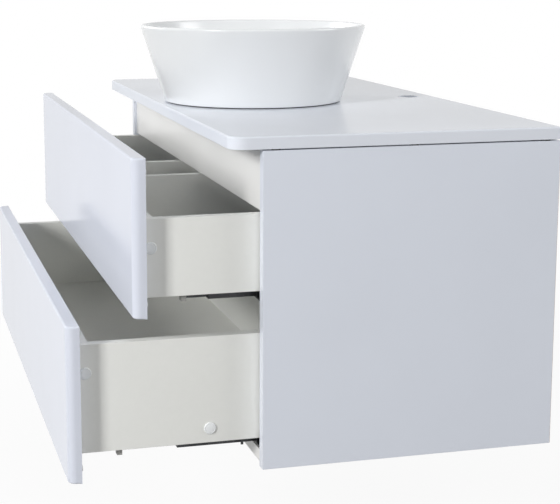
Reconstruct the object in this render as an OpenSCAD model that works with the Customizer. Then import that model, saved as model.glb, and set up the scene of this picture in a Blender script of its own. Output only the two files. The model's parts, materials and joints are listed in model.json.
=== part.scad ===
// Wall-hung vanity with two drawers, a countertop and a round vessel basin.
// Millimetres. X to the right, Y towards the wall, Z up. The wall is the plane y = 0,
// z = 0 is the underside of the cabinet, and x = 0 its middle.
// Both drawers are drawn pulled out by the two values in the section "Drawer positions".

/* [Cabinet] */
// Width of the cabinet, the countertop and both drawer fronts
cabinet_w = 1000; // [760:10:1400]
// Depth of the cabinet sides, from the wall to their front edges
cabinet_d = 450; // [440:5:520]
// Height of the cabinet sides
cabinet_h = 460; // [450:5:540]
// Thickness of the side panels, the bottom panel and the rails
panel_t = 18; // [16:0.5:20]
// Height of the upper rear rail
rail_h = 86; // [76:1:90]
// Height of the front rail
front_rail_h = 89; // [76:1:90]
// Set-back of the front rail and the bottom panel from the front edges of the sides
rail_set_back = 5; // [0:0.5:8]
// Height of the lower rear rail
lower_rail_h = 80; // [70:1:110]

/* [Countertop] */
// Thickness of the countertop
top_t = 18; // [12:1:40]
// How far the countertop stands out in front of the cabinet sides
top_overhang = 46; // [25:1:60]
// Height of the pads that carry the countertop
pad_t = 2; // [1:0.5:5]
// Radius of a pad
pad_r = 7; // [4:0.5:8]
// Radius of the countertop's two front corners, seen from above
top_corner_r = 25; // [8:1:60]
// Radius of the countertop's upper edge
top_edge_r = 2.5; // [1:0.5:6]
// Radius of the tap hole
tap_hole_r = 17.5; // [16:0.5:19]
// Distance from the wall to the middle of the tap hole
tap_hole_back = 42; // [36:1:60]

/* [Basin] */
// Outer radius of the basin at its rim
rim_r = 195; // [170:0.5:210]
// Outer radius of the basin at its foot
foot_r = 152; // [130:0.5:160]
// Height of the basin
basin_h = 130; // [100:1:160]
// Thickness of the basin's wall
basin_wall = 7; // [5:0.5:12]
// Thickness of the basin's floor at the drain
basin_floor_t = 14; // [12:0.5:24]
// Radius of the hollow corner between the basin's floor and its wall
bowl_corner_r = 32; // [15:1:45]
// Width of the ring that the basin stands on
foot_ring_w = 16; // [10:1:30]
// Depth of the hollow under the basin, inside its foot ring
foot_hollow_h = 5; // [2:0.5:7]
// Distance from the front edges of the cabinet sides back to the basin's middle
basin_set_back = 120; // [115:1:160]
// Thickness of the seal under the basin
seal_t = 1.5; // [1:0.5:4]
// How far the seal is set back from the basin's foot
seal_inset = 4; // [2:1:10]
// Width of the seal
seal_w = 10; // [5:1:12]

/* [Drawer fronts] */
// Thickness of the drawer fronts
front_t = 19; // [16:0.5:24]
// Gap above, between and below the fronts
front_gap = 4; // [2:0.5:6]
// Radius of the fronts' upright edges
front_corner_r = 12; // [2:0.5:14]
// Space between a closed front and the cabinet sides
bumper_t = 2; // [1:0.5:4]
// Radius of the bumpers behind the fronts
bumper_r = 4; // [3:0.5:6]

/* [Drawer boxes] */
// Thickness of the drawer boards
board_t = 16; // [12:0.5:16]
// Clearance between a drawer box and each cabinet side
side_clear = 5; // [4.5:0.5:8]
// Length of the drawer boxes
box_len = 375; // [365:5:395]
// Space between the lower drawer box and the trap's cup above it
trap_under_gap = 33.5; // [20:0.5:70]
// Height of the lower drawer box above the bottom panel
lower_box_lift = 22; // [18:1:26]
// Height of the upper drawer box
upper_box_h = 111; // [90:1:120]
// Space between the upper drawer box and the front rail above it
upper_box_drop = 3; // [3:1:12]
// Height of the drawer floors' undersides above the lower edges of the drawer sides
floor_recess = 13; // [13:0.5:18]
// Width of the cut-out in the upper drawer that lets the trap pass
cut_out_w = 144; // [120:2:220]
// Space between the trap and the front of that cut-out when the drawer is closed
trap_clear = 30; // [15:1:34]

/* [Drawer positions] */
// How far the upper drawer is drawn pulled out
upper_open = 163; // [0:1:370]
// How far the lower drawer is drawn pulled out
lower_open = 257; // [0:1:370]

/* [Runners] */
// Length of the runner members on the cabinet sides
runner_len = 385; // [370:5:400]
// Thickness of the runners' sheet steel
steel_t = 1.5; // [1.2:0.1:1.8]
// Width of the space between two runner members, where the balls roll
track_gap = 3.2; // [3:0.1:4]
// Width of the gliding middle member
glide_w = 17; // [16:0.5:20]
// Length of the gliding middle member
glide_len = 290; // [260:5:300]
// Distance of the middle member's front end behind the cabinet member's
glide_set_back = 11; // [5:1:20]
// Drop of the cabinet member's underside below the drawer sides
runner_drop = 16; // [13:0.5:17]
// Free height between one runner member and the next
runner_gap_z = 1; // [0.6:0.1:1.2]
// Rise of the cabinet member's flange above the lower edge of the drawer side
flange_rise = 9; // [6:0.5:10]
// Radius of the bearing balls
ball_r = 1.3; // [1:0.05:1.3]
// Number of balls in each strip of a ball cage
ball_count = 5; // [3:1:8]
// Length of a ball cage
cage_len = 110; // [80:5:110]
// Length of a locking clip's foot, along the drawer
clip_foot_l = 7.5; // [6:0.5:14]
// Distance from the front to a locking clip's foot
clip_foot_y = 54; // [40:1:54]
// Radius of the wheel in a locking clip that sets the drawer's height
clip_wheel_r = 5.5; // [4:0.1:5.6]
// Radius of the pin that holds a drawer member in the drawer's back
rear_pin_r = 3; // [2:0.1:3.5]
// Length of a soft-close damper
damper_len = 118; // [90:1:140]
// Radius of a soft-close damper's cylinder
damper_r = 4.4; // [3.5:0.1:4.8]

/* [Waste and trap] */
// Radius of the drain hole through the basin
drain_r = 23; // [22:0.5:26]
// Radius of the hole through the countertop for the waste
top_waste_hole_r = 25; // [22:0.5:30]
// Outer radius of the waste's threaded tube
waste_r = 20.9; // [20:0.1:21.5]
// Wall thickness of the waste and of the pipes
pipe_wall = 1.5; // [1:0.1:2]
// Radius of the waste's flange in the basin
waste_flange_r = 33; // [30:0.5:36]
// Thickness of the waste's flange
waste_flange_t = 2.5; // [2:0.5:4]
// Length of the waste, from the top of its flange to its lower end
waste_len = 103; // [95:1:115]
// Travel of the waste plug from shut to open
plug_lift = 8; // [5:0.5:10]
// Thickness of the waste plug's cap at its edge
plug_edge_t = 2; // [1.5:0.5:3]
// Radius of the waste plug's stem
stem_r = 3; // [2.5:0.5:4]
// Outer radius of the trap's pipes
pipe_r = 16; // [15.5:0.5:17]
// Outer radius of the trap's body
trap_r = 30; // [27:0.5:31]
// Height of the trap's body
trap_body_h = 56; // [54:1:62]
// Height of the trap's cup
trap_cup_h = 72; // [60:1:76]
// Distance from the end of the waste down to the trap's body
trap_drop = 42; // [36:1:48]
// Length of the outlet pipe that stands out behind the wall plane, into the drain
outlet_reach = 35; // [20:1:60]
// Radius of the rosette that covers the hole in the wall
rosette_r = 36; // [28:1:45]

/* [Fixings] */
// Radius of the four holes for the wall bolts
wall_hole_r = 5; // [3:0.5:6]
// Distance of the wall bolts from the cabinet sides' inner faces
wall_hole_inset = 52; // [46:1:60]
// Length of each leg of a hanging bracket
bracket_leg = 66; // [62:1:80]
// Height of a hanging bracket
bracket_h = 50; // [40:1:52]
// Thickness of the hanging brackets' steel
bracket_t = 2.5; // [2:0.5:4]
// Radius of the cam locks that join the panels
cam_r = 7.5; // [6:0.5:8]
// Depth of the cam locks
cam_depth = 12; // [9:0.5:13]
// Distance of the cam locks from the ends of their panels
cam_inset = 24; // [20:1:34]
// Radius of the screw shanks
screw_r = 2; // [1.5:0.1:2.2]
// Radius of the screw heads
screw_head_r = 3.8; // [3.2:0.1:4.2]
// Height of the screw heads
screw_head_t = 1.6; // [1:0.1:2]
// Radius of the caps that cover the drawer screws
cap_r = 8.7; // [6:0.1:10]
// Height of the screw caps
cap_t = 2.6; // [1.5:0.1:3.2]

/* [Hidden] */
$fn = 96;

// Finishes
body_white = [0.84, 0.85, 0.89];
front_white = [0.90, 0.91, 0.95];
ceramic_white = [0.94, 0.94, 0.95];
board_white = [0.85, 0.86, 0.84];
steel_grey = [0.17, 0.17, 0.18];
zinc_grey = [0.68, 0.69, 0.70];
plastic_grey = [0.60, 0.60, 0.58];
plastic_white = [0.90, 0.90, 0.89];
chrome_grey = [0.75, 0.76, 0.78];
rubber_black = [0.08, 0.08, 0.08];

// Clearances
fit_clear = 0.1;       // round a screw, a pipe or a cam lock in its hole
stem_clear = 0.05;     // round the waste plug's stem in its guide
plug_gap = 0.3;        // under the waste plug's cap when it is shut
flange_clear = 0.4;    // round the waste's flange in the basin

// Cabinet
half_w = cabinet_w / 2;
inner_x = half_w - panel_t;
side_front_y = -cabinet_d;
rail_front_y = side_front_y + rail_set_back;
rail_z = cabinet_h - rail_h;
front_rail_z = cabinet_h - front_rail_h;
top_z0 = cabinet_h + pad_t;
top_z1 = top_z0 + top_t;
top_front_y = side_front_y - top_overhang;

// Basin
basin_y = side_front_y + basin_set_back;
basin_z = top_z1 + seal_t;
wall_angle = atan2(basin_h, rim_r - foot_r);
floor_angle = 1.5;       // fall of the basin's floor towards the drain
foot_edge_r = 3;         // rounded edge round the foot
flange_seat_r = waste_flange_r + flange_clear;
flange_seat_z = basin_z + basin_floor_t + flange_seat_r * tan(floor_angle) - waste_flange_t;

// Waste and trap
waste_top_z = flange_seat_z + waste_flange_t;
waste_end_z = waste_top_z - waste_len;
pipe_in_r = pipe_r - pipe_wall;
guide_h = 8;                                 // hub that guides the plug's stem
guide_z = flange_seat_z - 22;
hub_r = stem_r + 2;
spoke_w = 2;
plug_dome = 2.2;                             // rise of the plug's cap above its edge
plug_r = waste_flange_r - 2;
washer_t = 3;
washer_r = top_waste_hole_r + 11;
nut_h = 8;
nut_r = top_waste_hole_r + 9;
trap_wall_t = 2.5;
collar_h = 4;                                // collar at the inlet tube's top end
ridge_r = 1.5;                               // grip ridges of the nuts
ridge_angles = [0 : 30 : 330];
slip_nut_h = 20;
slip_nut_lip = 4;
slip_nut_wall = 4;
cup_ring_r = trap_r + 5;
cup_ring_h = 14;
cup_grip = 6;                                // how far the cup's ring reaches up the body
trap_top_z = waste_end_z - trap_drop;
trap_base_z = trap_top_z - trap_body_h;
cup_ring_z = trap_base_z + cup_grip - cup_ring_h;
cup_base_z = trap_base_z + cup_grip - trap_cup_h;
trap_neck_r = pipe_r + 8;
trap_neck_h = 12;
branch_r = pipe_r + 6;
branch_gap = 2;                              // between the cup's ring and the outlet branch
outlet_z = trap_base_z + cup_grip + branch_gap + branch_r;
branch_nut_y = cup_ring_r + branch_gap;
branch_len = branch_nut_y + slip_nut_h - 2 * slip_nut_lip;
bead_r = pipe_r + 1.5;                       // bead that stops the outlet pipe at the wall
bead_t = 2;
rosette_d = 10;
rosette_edge_t = 1.5;
rosette_in_r = bead_r + fit_clear;

// Drawer fronts and boxes, in their closed places
drawer_travel = 370;
front_h = (cabinet_h - 3 * front_gap) / 2;
lower_front_z = front_gap;
upper_front_z = 2 * front_gap + front_h;
front_back_y = side_front_y - bumper_t;
box_half_w = inner_x - side_clear;
box_inner_x = box_half_w - board_t;
box_front_y = front_back_y;
box_back_y = box_front_y + box_len;
subfront_in_y = box_front_y + board_t;
back_in_y = box_back_y - board_t;
lower_box_z = panel_t + lower_box_lift;
lower_box_h = cup_base_z - trap_under_gap - lower_box_z;
upper_box_z = front_rail_z - upper_box_drop - upper_box_h;
cut_out_x = cut_out_w / 2;
trap_wall_x = cut_out_x + board_t;
cut_out_front_y = basin_y - cup_ring_r - trap_clear;

// Runners: u runs inwards from a cabinet side, v upwards from the drawer side's lower edge
runner_front_y = side_front_y + 3;                       // just behind the cabinet side's edge
glide_front_y = runner_front_y + glide_set_back;
member_front_y = front_back_y + clip_foot_y + clip_foot_l;
rail_u = side_clear + board_t + 5;                       // outer face of the outer upstand
glide_u = rail_u + steel_t + track_gap;                  // outer face of the middle member
rail_inner_u = glide_u + glide_w + track_gap;            // inner upstand of the cabinet member
glide_v = steel_t + runner_gap_z - runner_drop;          // underside of the middle member
member_v = glide_v + steel_t + runner_gap_z;             // lower edges of the drawer member
member_u = glide_u + steel_t + track_gap;                // outer flange of the drawer member
member_inner_u = glide_u + glide_w - steel_t - track_gap;
track_top_v = floor_recess - steel_t - runner_gap_z - 2; // upper edges of the lower members
member_lip = 3;                                          // rim of the drawer member's top
cage_h = 7;
cage_t = 1;
outer_cage_v = glide_v + 5 + cage_h / 2;                 // middles of the ball rows
inner_cage_v = member_v + 4 + cage_h / 2;
cage_travel = drawer_travel / 4;                         // of a cage against its two members
outer_cage_y = runner_front_y + cage_travel + 2.5;       // front ends of the cages
inner_cage_y = glide_front_y + cage_travel + 30.5;
clip_u = side_clear + board_t + 0.8;                     // outer face of a locking clip's leg
clip_leg_t = 3;
clip_plate_t = runner_gap_z + steel_t;
clip_foot_v = -10;                                       // underside of the clip's foot
clip_foot_w = 9;                                         // reach of the foot under the side
clip_gap = 0.5;                                          // between the foot and the side
clip_wheel_t = 3;
clip_lever_w = 12;                                       // along the drawer
clip_lever_u = 16;                                       // beyond the cabinet member
clip_lever_drop = 9;
tab_rise = 24;                                           // rear tab above the drawer member
rear_pin_v = floor_recess + 13;
rear_pin_len = 9;
slot_len = 12;                                           // slots in the cabinet member
slot_ys = [for (k = [0.2, 0.35, 0.65, 0.8]) runner_front_y + k * runner_len];
web_top_v = steel_t - runner_drop;                       // top of the cabinet member's web
damper_u = (steel_t + rail_u) / 2;
damper_v = web_top_v + damper_r + 1;
damper_back_y = runner_front_y + runner_len - 40;
damper_front_y = damper_back_y - damper_len;
damper_end_t = 8;
damper_foot_w = 2 * damper_r + 7;
damper_foot_t = 1.6;
damper_rod_r = 1.6;
damper_rod_len = 26;

// Places of the small parts
cap_front_in = 10;       // behind the drawer front
cap_top_drop = 41;       // below the top of the drawer side
cap_mid_in = 187;        // behind the drawer front
cap_rim = 0.6;           // upright rim of a cap
screw_len = 10;          // screw shanks in the panels
screw_hole_d = 12;       // holes for them
runner_screw_ys = [for (k = [0.1, 0.5, 0.9]) runner_front_y + k * runner_len];
rear_pin_x = inner_x - (member_u + member_inner_u) / 2;
front_screw_xs = [for (s = [-1, 1]) for (k = [0.35, 0.85]) s * k * box_inner_x];
front_screw_len = 9;     // shanks of the front screws, inside the front
front_screw_hole_d = 10;
front_screw_rise = 20;   // of the lower row, above the drawer's floor
front_screw_drop = 25;   // of the upper row, below the top of the box
bumper_inset = 20;       // from the upper and lower edges of a front
bumper_gap = 0.2;        // between a closed front's bumpers and the cabinet side
pad_inset = 20;
pad_ys = [side_front_y + pad_inset, side_front_y / 2, -pad_inset];
bracket_z = rail_z + 26;
wall_hole_z = bracket_z + bracket_h / 2;
lower_wall_hole_z = lower_rail_h / 2;
bracket_screw_y = -panel_t - 0.6 * bracket_leg;
bracket_screw_zs = [for (k = [0.2, 0.8]) bracket_z + k * bracket_h];
cam_x = inner_x - cam_inset;
cam_rail_in = 14;        // from the edge of a rear rail
bottom_cam_in = 60;      // from the front and back edges of the bottom panel
bottom_cam_ys = [rail_front_y + bottom_cam_in, -panel_t - bottom_cam_in];
cam_slot_w = 1.2;
cam_slot_d = 2;

// ---------------------------------------------------------------- helpers

// A block given by its two opposite corners
module block(low, high) {
    translate(low) cube([high[0] - low[0], high[1] - low[1], high[2] - low[2]]);
}

// What is drawn on the right, and its mirror image on the left
module both_sides() {
    children();
    mirror([1, 0, 0]) children();
}

module pulled_out(distance) {
    translate([0, -distance, 0]) children();
}

// A round bar along X that starts at x and runs inwards, against X
module rod_inwards(x, y, z, r, len) {
    translate([x, y, z]) rotate([0, -90, 0]) cylinder(r = r, h = len);
}

// A round bar along Y that starts at y and runs towards the wall
module rod_back(x, y, z, r, len) {
    translate([x, y, z]) rotate([-90, 0, 0]) cylinder(r = r, h = len);
}

// A tube along Z from z0 up to z1
module tube(z0, z1, r_out, r_in) {
    translate([0, 0, z0]) difference() {
        cylinder(r = r_out, h = z1 - z0);
        translate([0, 0, -1]) cylinder(r = r_in, h = z1 - z0 + 2);
    }
}

// The cross-section of bent sheet steel: a band of thickness t along the points of a path
module sheet(path, t) {
    for (i = [0 : len(path) - 2]) {
        run = path[i + 1] - path[i];
        translate(path[i]) rotate(atan2(run[1], run[0]))
            translate([0, -t / 2]) square([norm(run), t]);
    }
    if (len(path) > 2)
        for (i = [1 : len(path) - 2]) translate(path[i]) circle(d = t, $fn = 24);
}

// A cross-section drawn in (u, v) beside the right-hand cabinet side, carried along Y
module runner_bar(y0, len, box_z) {
    translate([inner_x, y0 + len, box_z]) rotate([90, 0, 0]) linear_extrude(len)
        mirror([1, 0]) children();
}

// Points of an arc round (x, z), from angle a0 to a1
function arc(x, z, r, a0, a1, n) =
    [for (i = [0 : n]) let (a = a0 + (a1 - a0) * i / n) [x + r * cos(a), z + r * sin(a)]];

// ---------------------------------------------------------------- cabinet

// The hole of a cam lock in a rail, from y towards the wall
module cam_hole_y(x, y, z) {
    rod_back(x, y, z, cam_r + fit_clear, cam_depth + 1);
}

// A cam lock: a disc with a cross slot in its face
module cam_lock() {
    difference() {
        cylinder(r = cam_r, h = cam_depth);
        for (a = [0, 90]) rotate([0, 0, a])
            translate([-0.7 * cam_r, -cam_slot_w / 2, cam_depth - cam_slot_d])
                cube([1.4 * cam_r, cam_slot_w, cam_slot_d + 1]);
    }
}

module runner_screw_holes() {
    for (box_z = [lower_box_z, upper_box_z]) for (y = runner_screw_ys)
        rod_inwards(inner_x + screw_hole_d, y, box_z + flange_rise / 2, screw_r + fit_clear,
                    screw_hole_d + 1);
}

module side_panel() {
    difference() {
        block([inner_x, side_front_y, 0], [half_w, 0, cabinet_h]);
        runner_screw_holes();
        for (z = bracket_screw_zs)
            rod_inwards(inner_x + screw_hole_d, bracket_screw_y, z, screw_r + fit_clear,
                        screw_hole_d + 1);
    }
}

module side_panel_left() color(body_white) mirror([1, 0, 0]) side_panel();
module side_panel_right() color(body_white) side_panel();

module bottom_panel() color(body_white) difference() {
    block([-inner_x, rail_front_y, 0], [inner_x, -panel_t, panel_t]);
    both_sides() for (y = bottom_cam_ys)
        translate([cam_x, y, panel_t - cam_depth])
            cylinder(r = cam_r + fit_clear, h = cam_depth + 1);
}

module front_rail() color(body_white) difference() {
    block([-inner_x, rail_front_y, front_rail_z], [inner_x, rail_front_y + panel_t, cabinet_h]);
    both_sides()
        cam_hole_y(cam_x, rail_front_y + panel_t - cam_depth, front_rail_z + front_rail_h / 2);
}

module rear_rail_top() color(body_white) difference() {
    block([-inner_x, -panel_t, rail_z], [inner_x, 0, cabinet_h]);
    both_sides() {
        rod_back(inner_x - wall_hole_inset, -panel_t - 1, wall_hole_z, wall_hole_r, panel_t + 2);
        cam_hole_y(cam_x, -panel_t - 1, rail_z + cam_rail_in);
    }
}

module rear_rail_bottom() color(body_white) difference() {
    block([-inner_x, -panel_t, 0], [inner_x, 0, lower_rail_h]);
    both_sides() {
        rod_back(inner_x - wall_hole_inset, -panel_t - 1, lower_wall_hole_z, wall_hole_r,
                 panel_t + 2);
        cam_hole_y(cam_x, -panel_t - 1, lower_rail_h - cam_rail_in);
    }
}

module cam_locks() color(zinc_grey) both_sides() {
    for (y = bottom_cam_ys) translate([cam_x, y, panel_t - cam_depth]) cam_lock();
    translate([cam_x, rail_front_y + panel_t - cam_depth, front_rail_z + front_rail_h / 2])
        rotate([-90, 0, 0]) cam_lock();
    for (z = [rail_z + cam_rail_in, lower_rail_h - cam_rail_in])
        translate([cam_x, -panel_t + cam_depth, z]) rotate([90, 0, 0]) cam_lock();
}

module hanging_bracket() {
    x1 = inner_x - bracket_t / 2;
    y1 = -panel_t - bracket_t / 2;
    difference() {
        translate([0, 0, bracket_z]) linear_extrude(bracket_h)
            sheet([[x1, y1 - bracket_leg], [x1, y1], [x1 - bracket_leg, y1]], bracket_t);
        rod_back(inner_x - wall_hole_inset, -panel_t - bracket_t - 1, wall_hole_z, wall_hole_r,
                 bracket_t + 2);
        for (z = bracket_screw_zs)
            rod_inwards(inner_x + 1, bracket_screw_y, z, screw_r + fit_clear, bracket_t + 2);
    }
}

module hanging_bracket_left() color(zinc_grey) mirror([1, 0, 0]) hanging_bracket();
module hanging_bracket_right() color(zinc_grey) hanging_bracket();

// A screw along X, its head's seat at x and its shank running outwards into the panel
module panel_screw(x, y, z) {
    rod_inwards(x + screw_len, y, z, screw_r, screw_len + screw_head_t / 2);
    rod_inwards(x, y, z, screw_head_r, screw_head_t);
}

module bracket_screws() color(zinc_grey) both_sides() for (z = bracket_screw_zs)
    panel_screw(inner_x - bracket_t, bracket_screw_y, z);

// ---------------------------------------------------------------- countertop

// The countertop's outline seen from above, drawn in by inset at the front and the sides
module top_plan(inset) {
    x = half_w - inset;
    y = top_front_y + inset;
    r = top_corner_r - inset;
    translate([-x, y + r]) square([2 * x, -y - r]);
    translate([-x + r, y]) square([2 * (x - r), r + 1]);
    for (s = [-1, 1]) translate([s * (x - r), y + r]) circle(r = r);
}

module countertop() color(body_white) {
    edge_z = top_z1 - top_edge_r;
    corner_x = half_w - top_corner_r;
    corner_y = top_front_y + top_corner_r;
    difference() {
        union() {
            translate([0, 0, top_z0]) linear_extrude(top_t - top_edge_r) top_plan(0);
            translate([0, 0, top_z0]) linear_extrude(top_t) top_plan(top_edge_r);
            translate([-corner_x, top_front_y + top_edge_r, edge_z]) rotate([0, 90, 0])
                cylinder(r = top_edge_r, h = 2 * corner_x);
            both_sides() {
                rod_back(half_w - top_edge_r, corner_y, edge_z, top_edge_r, -corner_y);
                translate([corner_x, corner_y, edge_z]) rotate([0, 0, -90])
                    rotate_extrude(angle = 90) translate([top_corner_r - top_edge_r, 0])
                        circle(r = top_edge_r);
            }
        }
        translate([0, -tap_hole_back, top_z0 - 1]) cylinder(r = tap_hole_r, h = top_t + 2);
        translate([0, basin_y, top_z0 - 1]) cylinder(r = top_waste_hole_r, h = top_t + 2);
    }
}

module countertop_pads() color(rubber_black) {
    both_sides() {
        for (y = pad_ys)
            translate([half_w - panel_t / 2, y, cabinet_h]) cylinder(r = pad_r, h = pad_t);
        for (y = [rail_front_y + panel_t / 2, -panel_t / 2])
            translate([inner_x / 3, y, cabinet_h]) cylinder(r = pad_r, h = pad_t);
    }
}

// ---------------------------------------------------------------- basin

// The basin's section: foot, straight outer wall, round rim, inner wall, rounded corner, sloping
// floor, seat of the waste's flange, drain hole and the hollow inside the foot ring
module basin_section() {
    along = [cos(wall_angle), sin(wall_angle)];
    inwards = [-sin(wall_angle), cos(wall_angle)];
    foot = [foot_r, 0];
    s = foot_edge_r * (1 - cos(wall_angle)) / sin(wall_angle);
    foot_c = foot + s * along + foot_edge_r * inwards;
    rim_half = basin_wall / 2;
    t = (basin_h - rim_half - rim_half * cos(wall_angle)) / sin(wall_angle);
    rim_c = foot + t * along + rim_half * inwards;
    depth = basin_wall + bowl_corner_r;
    q = (bowl_corner_r + (foot_r - depth * sin(wall_angle)) * sin(floor_angle)
         - (depth * cos(wall_angle) - basin_floor_t) * cos(floor_angle)) / sin(wall_angle - floor_angle);
    bowl_c = foot + q * along + depth * inwards;
    seat_z = flange_seat_z - basin_z;
    polygon(concat(
        arc(foot_c[0], foot_c[1], foot_edge_r, -90, wall_angle - 90, 4),
        arc(rim_c[0], rim_c[1], rim_half, wall_angle - 90, wall_angle + 90, 14),
        arc(bowl_c[0], bowl_c[1], bowl_corner_r, wall_angle - 90, floor_angle - 90, 12),
        [[flange_seat_r, basin_floor_t + flange_seat_r * tan(floor_angle)],
         [flange_seat_r, seat_z],
         [drain_r, seat_z],
         [drain_r, foot_hollow_h],
         [foot_r - foot_ring_w, foot_hollow_h],
         [foot_r - foot_ring_w, 0]]));
}

module basin() color(ceramic_white) translate([0, basin_y, basin_z])
    rotate_extrude() basin_section();

module basin_seal() color(rubber_black) translate([0, basin_y, 0])
    tube(top_z1, basin_z, foot_r - seal_inset, foot_r - seal_inset - seal_w);

// ---------------------------------------------------------------- waste and trap

module waste_body() color(chrome_grey) translate([0, basin_y, 0]) {
    tube(flange_seat_z, waste_top_z, waste_flange_r, waste_r - pipe_wall);
    tube(waste_end_z, flange_seat_z, waste_r, waste_r - pipe_wall);
    difference() {
        union() {
            translate([0, 0, guide_z]) cylinder(r = hub_r, h = guide_h);
            for (a = [0, 120, 240]) rotate([0, 0, a]) translate([0, -spoke_w / 2, guide_z])
                cube([waste_r - pipe_wall / 2, spoke_w, guide_h]);
        }
        translate([0, 0, guide_z - 1]) cylinder(r = stem_r + stem_clear, h = guide_h + 2);
    }
}

// Drawn open, one travel above its shut place
module waste_plug() color(chrome_grey) translate([0, basin_y, waste_top_z + plug_gap + plug_lift]) {
    rotate_extrude() polygon(concat(
        [[0, 0], [plug_r, 0]],
        arc(plug_r - 1, plug_edge_t - 1, 1, 0, 60, 4),
        [[0, plug_edge_t + plug_dome]]));
    stem_len = waste_top_z + plug_gap + plug_lift - guide_z + spoke_w;
    translate([0, 0, -stem_len]) cylinder(r = stem_r, h = stem_len + 1);
}

module waste_washer() color(rubber_black) translate([0, basin_y, 0])
    tube(top_z0 - washer_t, top_z0, washer_r, waste_r + fit_clear);

module waste_nut() color(chrome_grey) translate([0, basin_y, top_z0 - washer_t - nut_h]) difference() {
    cylinder(r = nut_r, h = nut_h, $fn = 6);
    translate([0, 0, -1]) cylinder(r = waste_r + fit_clear, h = nut_h + 2);
}

module trap_inlet_tube() color(plastic_white) translate([0, basin_y, 0]) {
    tube(trap_base_z - trap_cup_h / 2, waste_end_z, pipe_r, pipe_in_r);
    tube(waste_end_z - collar_h, waste_end_z, waste_r - 1, pipe_in_r);
}

module trap_body() color(plastic_white) translate([0, basin_y, 0]) difference() {
    union() {
        translate([0, 0, trap_base_z]) cylinder(r = trap_r, h = trap_body_h);
        translate([0, 0, trap_top_z]) cylinder(r = trap_neck_r, h = trap_neck_h);
        rod_back(0, 0, outlet_z, branch_r, branch_len);
    }
    translate([0, 0, trap_base_z - 1])
        cylinder(r = trap_r - trap_wall_t, h = trap_body_h - trap_wall_t + 1);
    translate([0, 0, trap_base_z])
        cylinder(r = pipe_r + fit_clear, h = trap_body_h + trap_neck_h + 1);
    rod_back(0, 0, outlet_z, pipe_r + fit_clear, branch_len + 1);
}

// A disc with grip ridges round it, along Z
module ridged(r, h) {
    cylinder(r = r, h = h);
    for (a = ridge_angles) rotate([0, 0, a])
        translate([r - ridge_r / 3, 0, 0]) cylinder(r = ridge_r, h = h, $fn = 24);
}

// The cup screws on to the body from below with its ring
module trap_cup() color(plastic_white) translate([0, basin_y, 0]) {
    difference() {
        union() {
            translate([0, 0, cup_ring_z]) ridged(cup_ring_r, cup_ring_h);
            translate([0, 0, cup_base_z]) cylinder(r = trap_r, h = cup_ring_z - cup_base_z);
        }
        translate([0, 0, cup_base_z + trap_wall_t])
            cylinder(r = trap_r - trap_wall_t, h = trap_cup_h);
        translate([0, 0, trap_base_z]) cylinder(r = trap_r + fit_clear, h = cup_ring_h);
    }
}

// A slip nut along Z: it grips what comes in from below, and its lip closes on the pipe above
module slip_nut(inner_r, lip_r) {
    difference() {
        ridged(inner_r + slip_nut_wall, slip_nut_h);
        translate([0, 0, -1]) cylinder(r = inner_r, h = slip_nut_h - slip_nut_lip + 1);
        cylinder(r = lip_r, h = slip_nut_h + 1);
    }
}

module trap_nuts() color(plastic_white) translate([0, basin_y, 0]) {
    translate([0, 0, waste_end_z + slip_nut_h - slip_nut_lip - collar_h]) mirror([0, 0, 1])
        slip_nut(waste_r + fit_clear, pipe_r + fit_clear);
    translate([0, 0, trap_top_z + slip_nut_lip])
        slip_nut(trap_neck_r + fit_clear, pipe_r + fit_clear);
    translate([0, branch_nut_y, outlet_z]) rotate([-90, 0, 0])
        slip_nut(branch_r + fit_clear, pipe_r + fit_clear);
}

// The bead stops the pipe at the wall plane
module trap_outlet_pipe() color(plastic_white) difference() {
    start_y = basin_y + trap_r + slip_nut_lip;
    union() {
        rod_back(0, start_y, outlet_z, pipe_r, outlet_reach - start_y);
        rod_back(0, -bead_t, outlet_z, bead_r, bead_t);
    }
    rod_back(0, start_y - 1, outlet_z, pipe_in_r, outlet_reach - start_y + 2);
}

module wall_rosette() color(chrome_grey) translate([0, 0, outlet_z]) rotate([90, 0, 0])
    rotate_extrude() polygon(concat(
        [[rosette_in_r, 0], [rosette_r, 0], [rosette_r, rosette_edge_t]],
        arc(rosette_in_r + 3, rosette_edge_t, rosette_d - rosette_edge_t, 50, 90, 8),
        [[rosette_in_r, rosette_d]]));

// ---------------------------------------------------------------- runners

// Cabinet member: flange on the cabinet side, web under the drawer side and two upstands
module cabinet_member(box_z) {
    half = steel_t / 2;
    web_v = half - runner_drop;
    difference() {
        runner_bar(runner_front_y, runner_len, box_z) {
            sheet([[half, flange_rise], [half, web_v], [rail_inner_u + half, web_v],
                   [rail_inner_u + half, track_top_v]], steel_t);
            sheet([[rail_u + half, web_v], [rail_u + half, track_top_v]], steel_t);
        }
        for (y = runner_screw_ys)
            rod_inwards(inner_x + 1, y, box_z + flange_rise / 2, screw_r + fit_clear, steel_t + 2);
        for (y = slot_ys) flange_slot(y, box_z + flange_rise / 2, screw_r + fit_clear);
    }
}

// A slot with round ends through the flange, its middle at (y, z)
module flange_slot(y, z, r) {
    for (end_y = [y - slot_len / 2 + r, y + slot_len / 2 - r])
        rod_inwards(inner_x + 1, end_y, z, r, steel_t + 2);
    block([inner_x - steel_t - 1, y - slot_len / 2 + r, z - r],
          [inner_x + 1, y + slot_len / 2 - r, z + r]);
}

// Middle member: a channel between the cabinet member's two upstands
module glide_member(box_z) {
    half = steel_t / 2;
    runner_bar(glide_front_y, glide_len, box_z)
        sheet([[glide_u + half, track_top_v], [glide_u + half, glide_v + half],
               [glide_u + glide_w - half, glide_v + half],
               [glide_u + glide_w - half, track_top_v]], steel_t);
}

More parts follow.
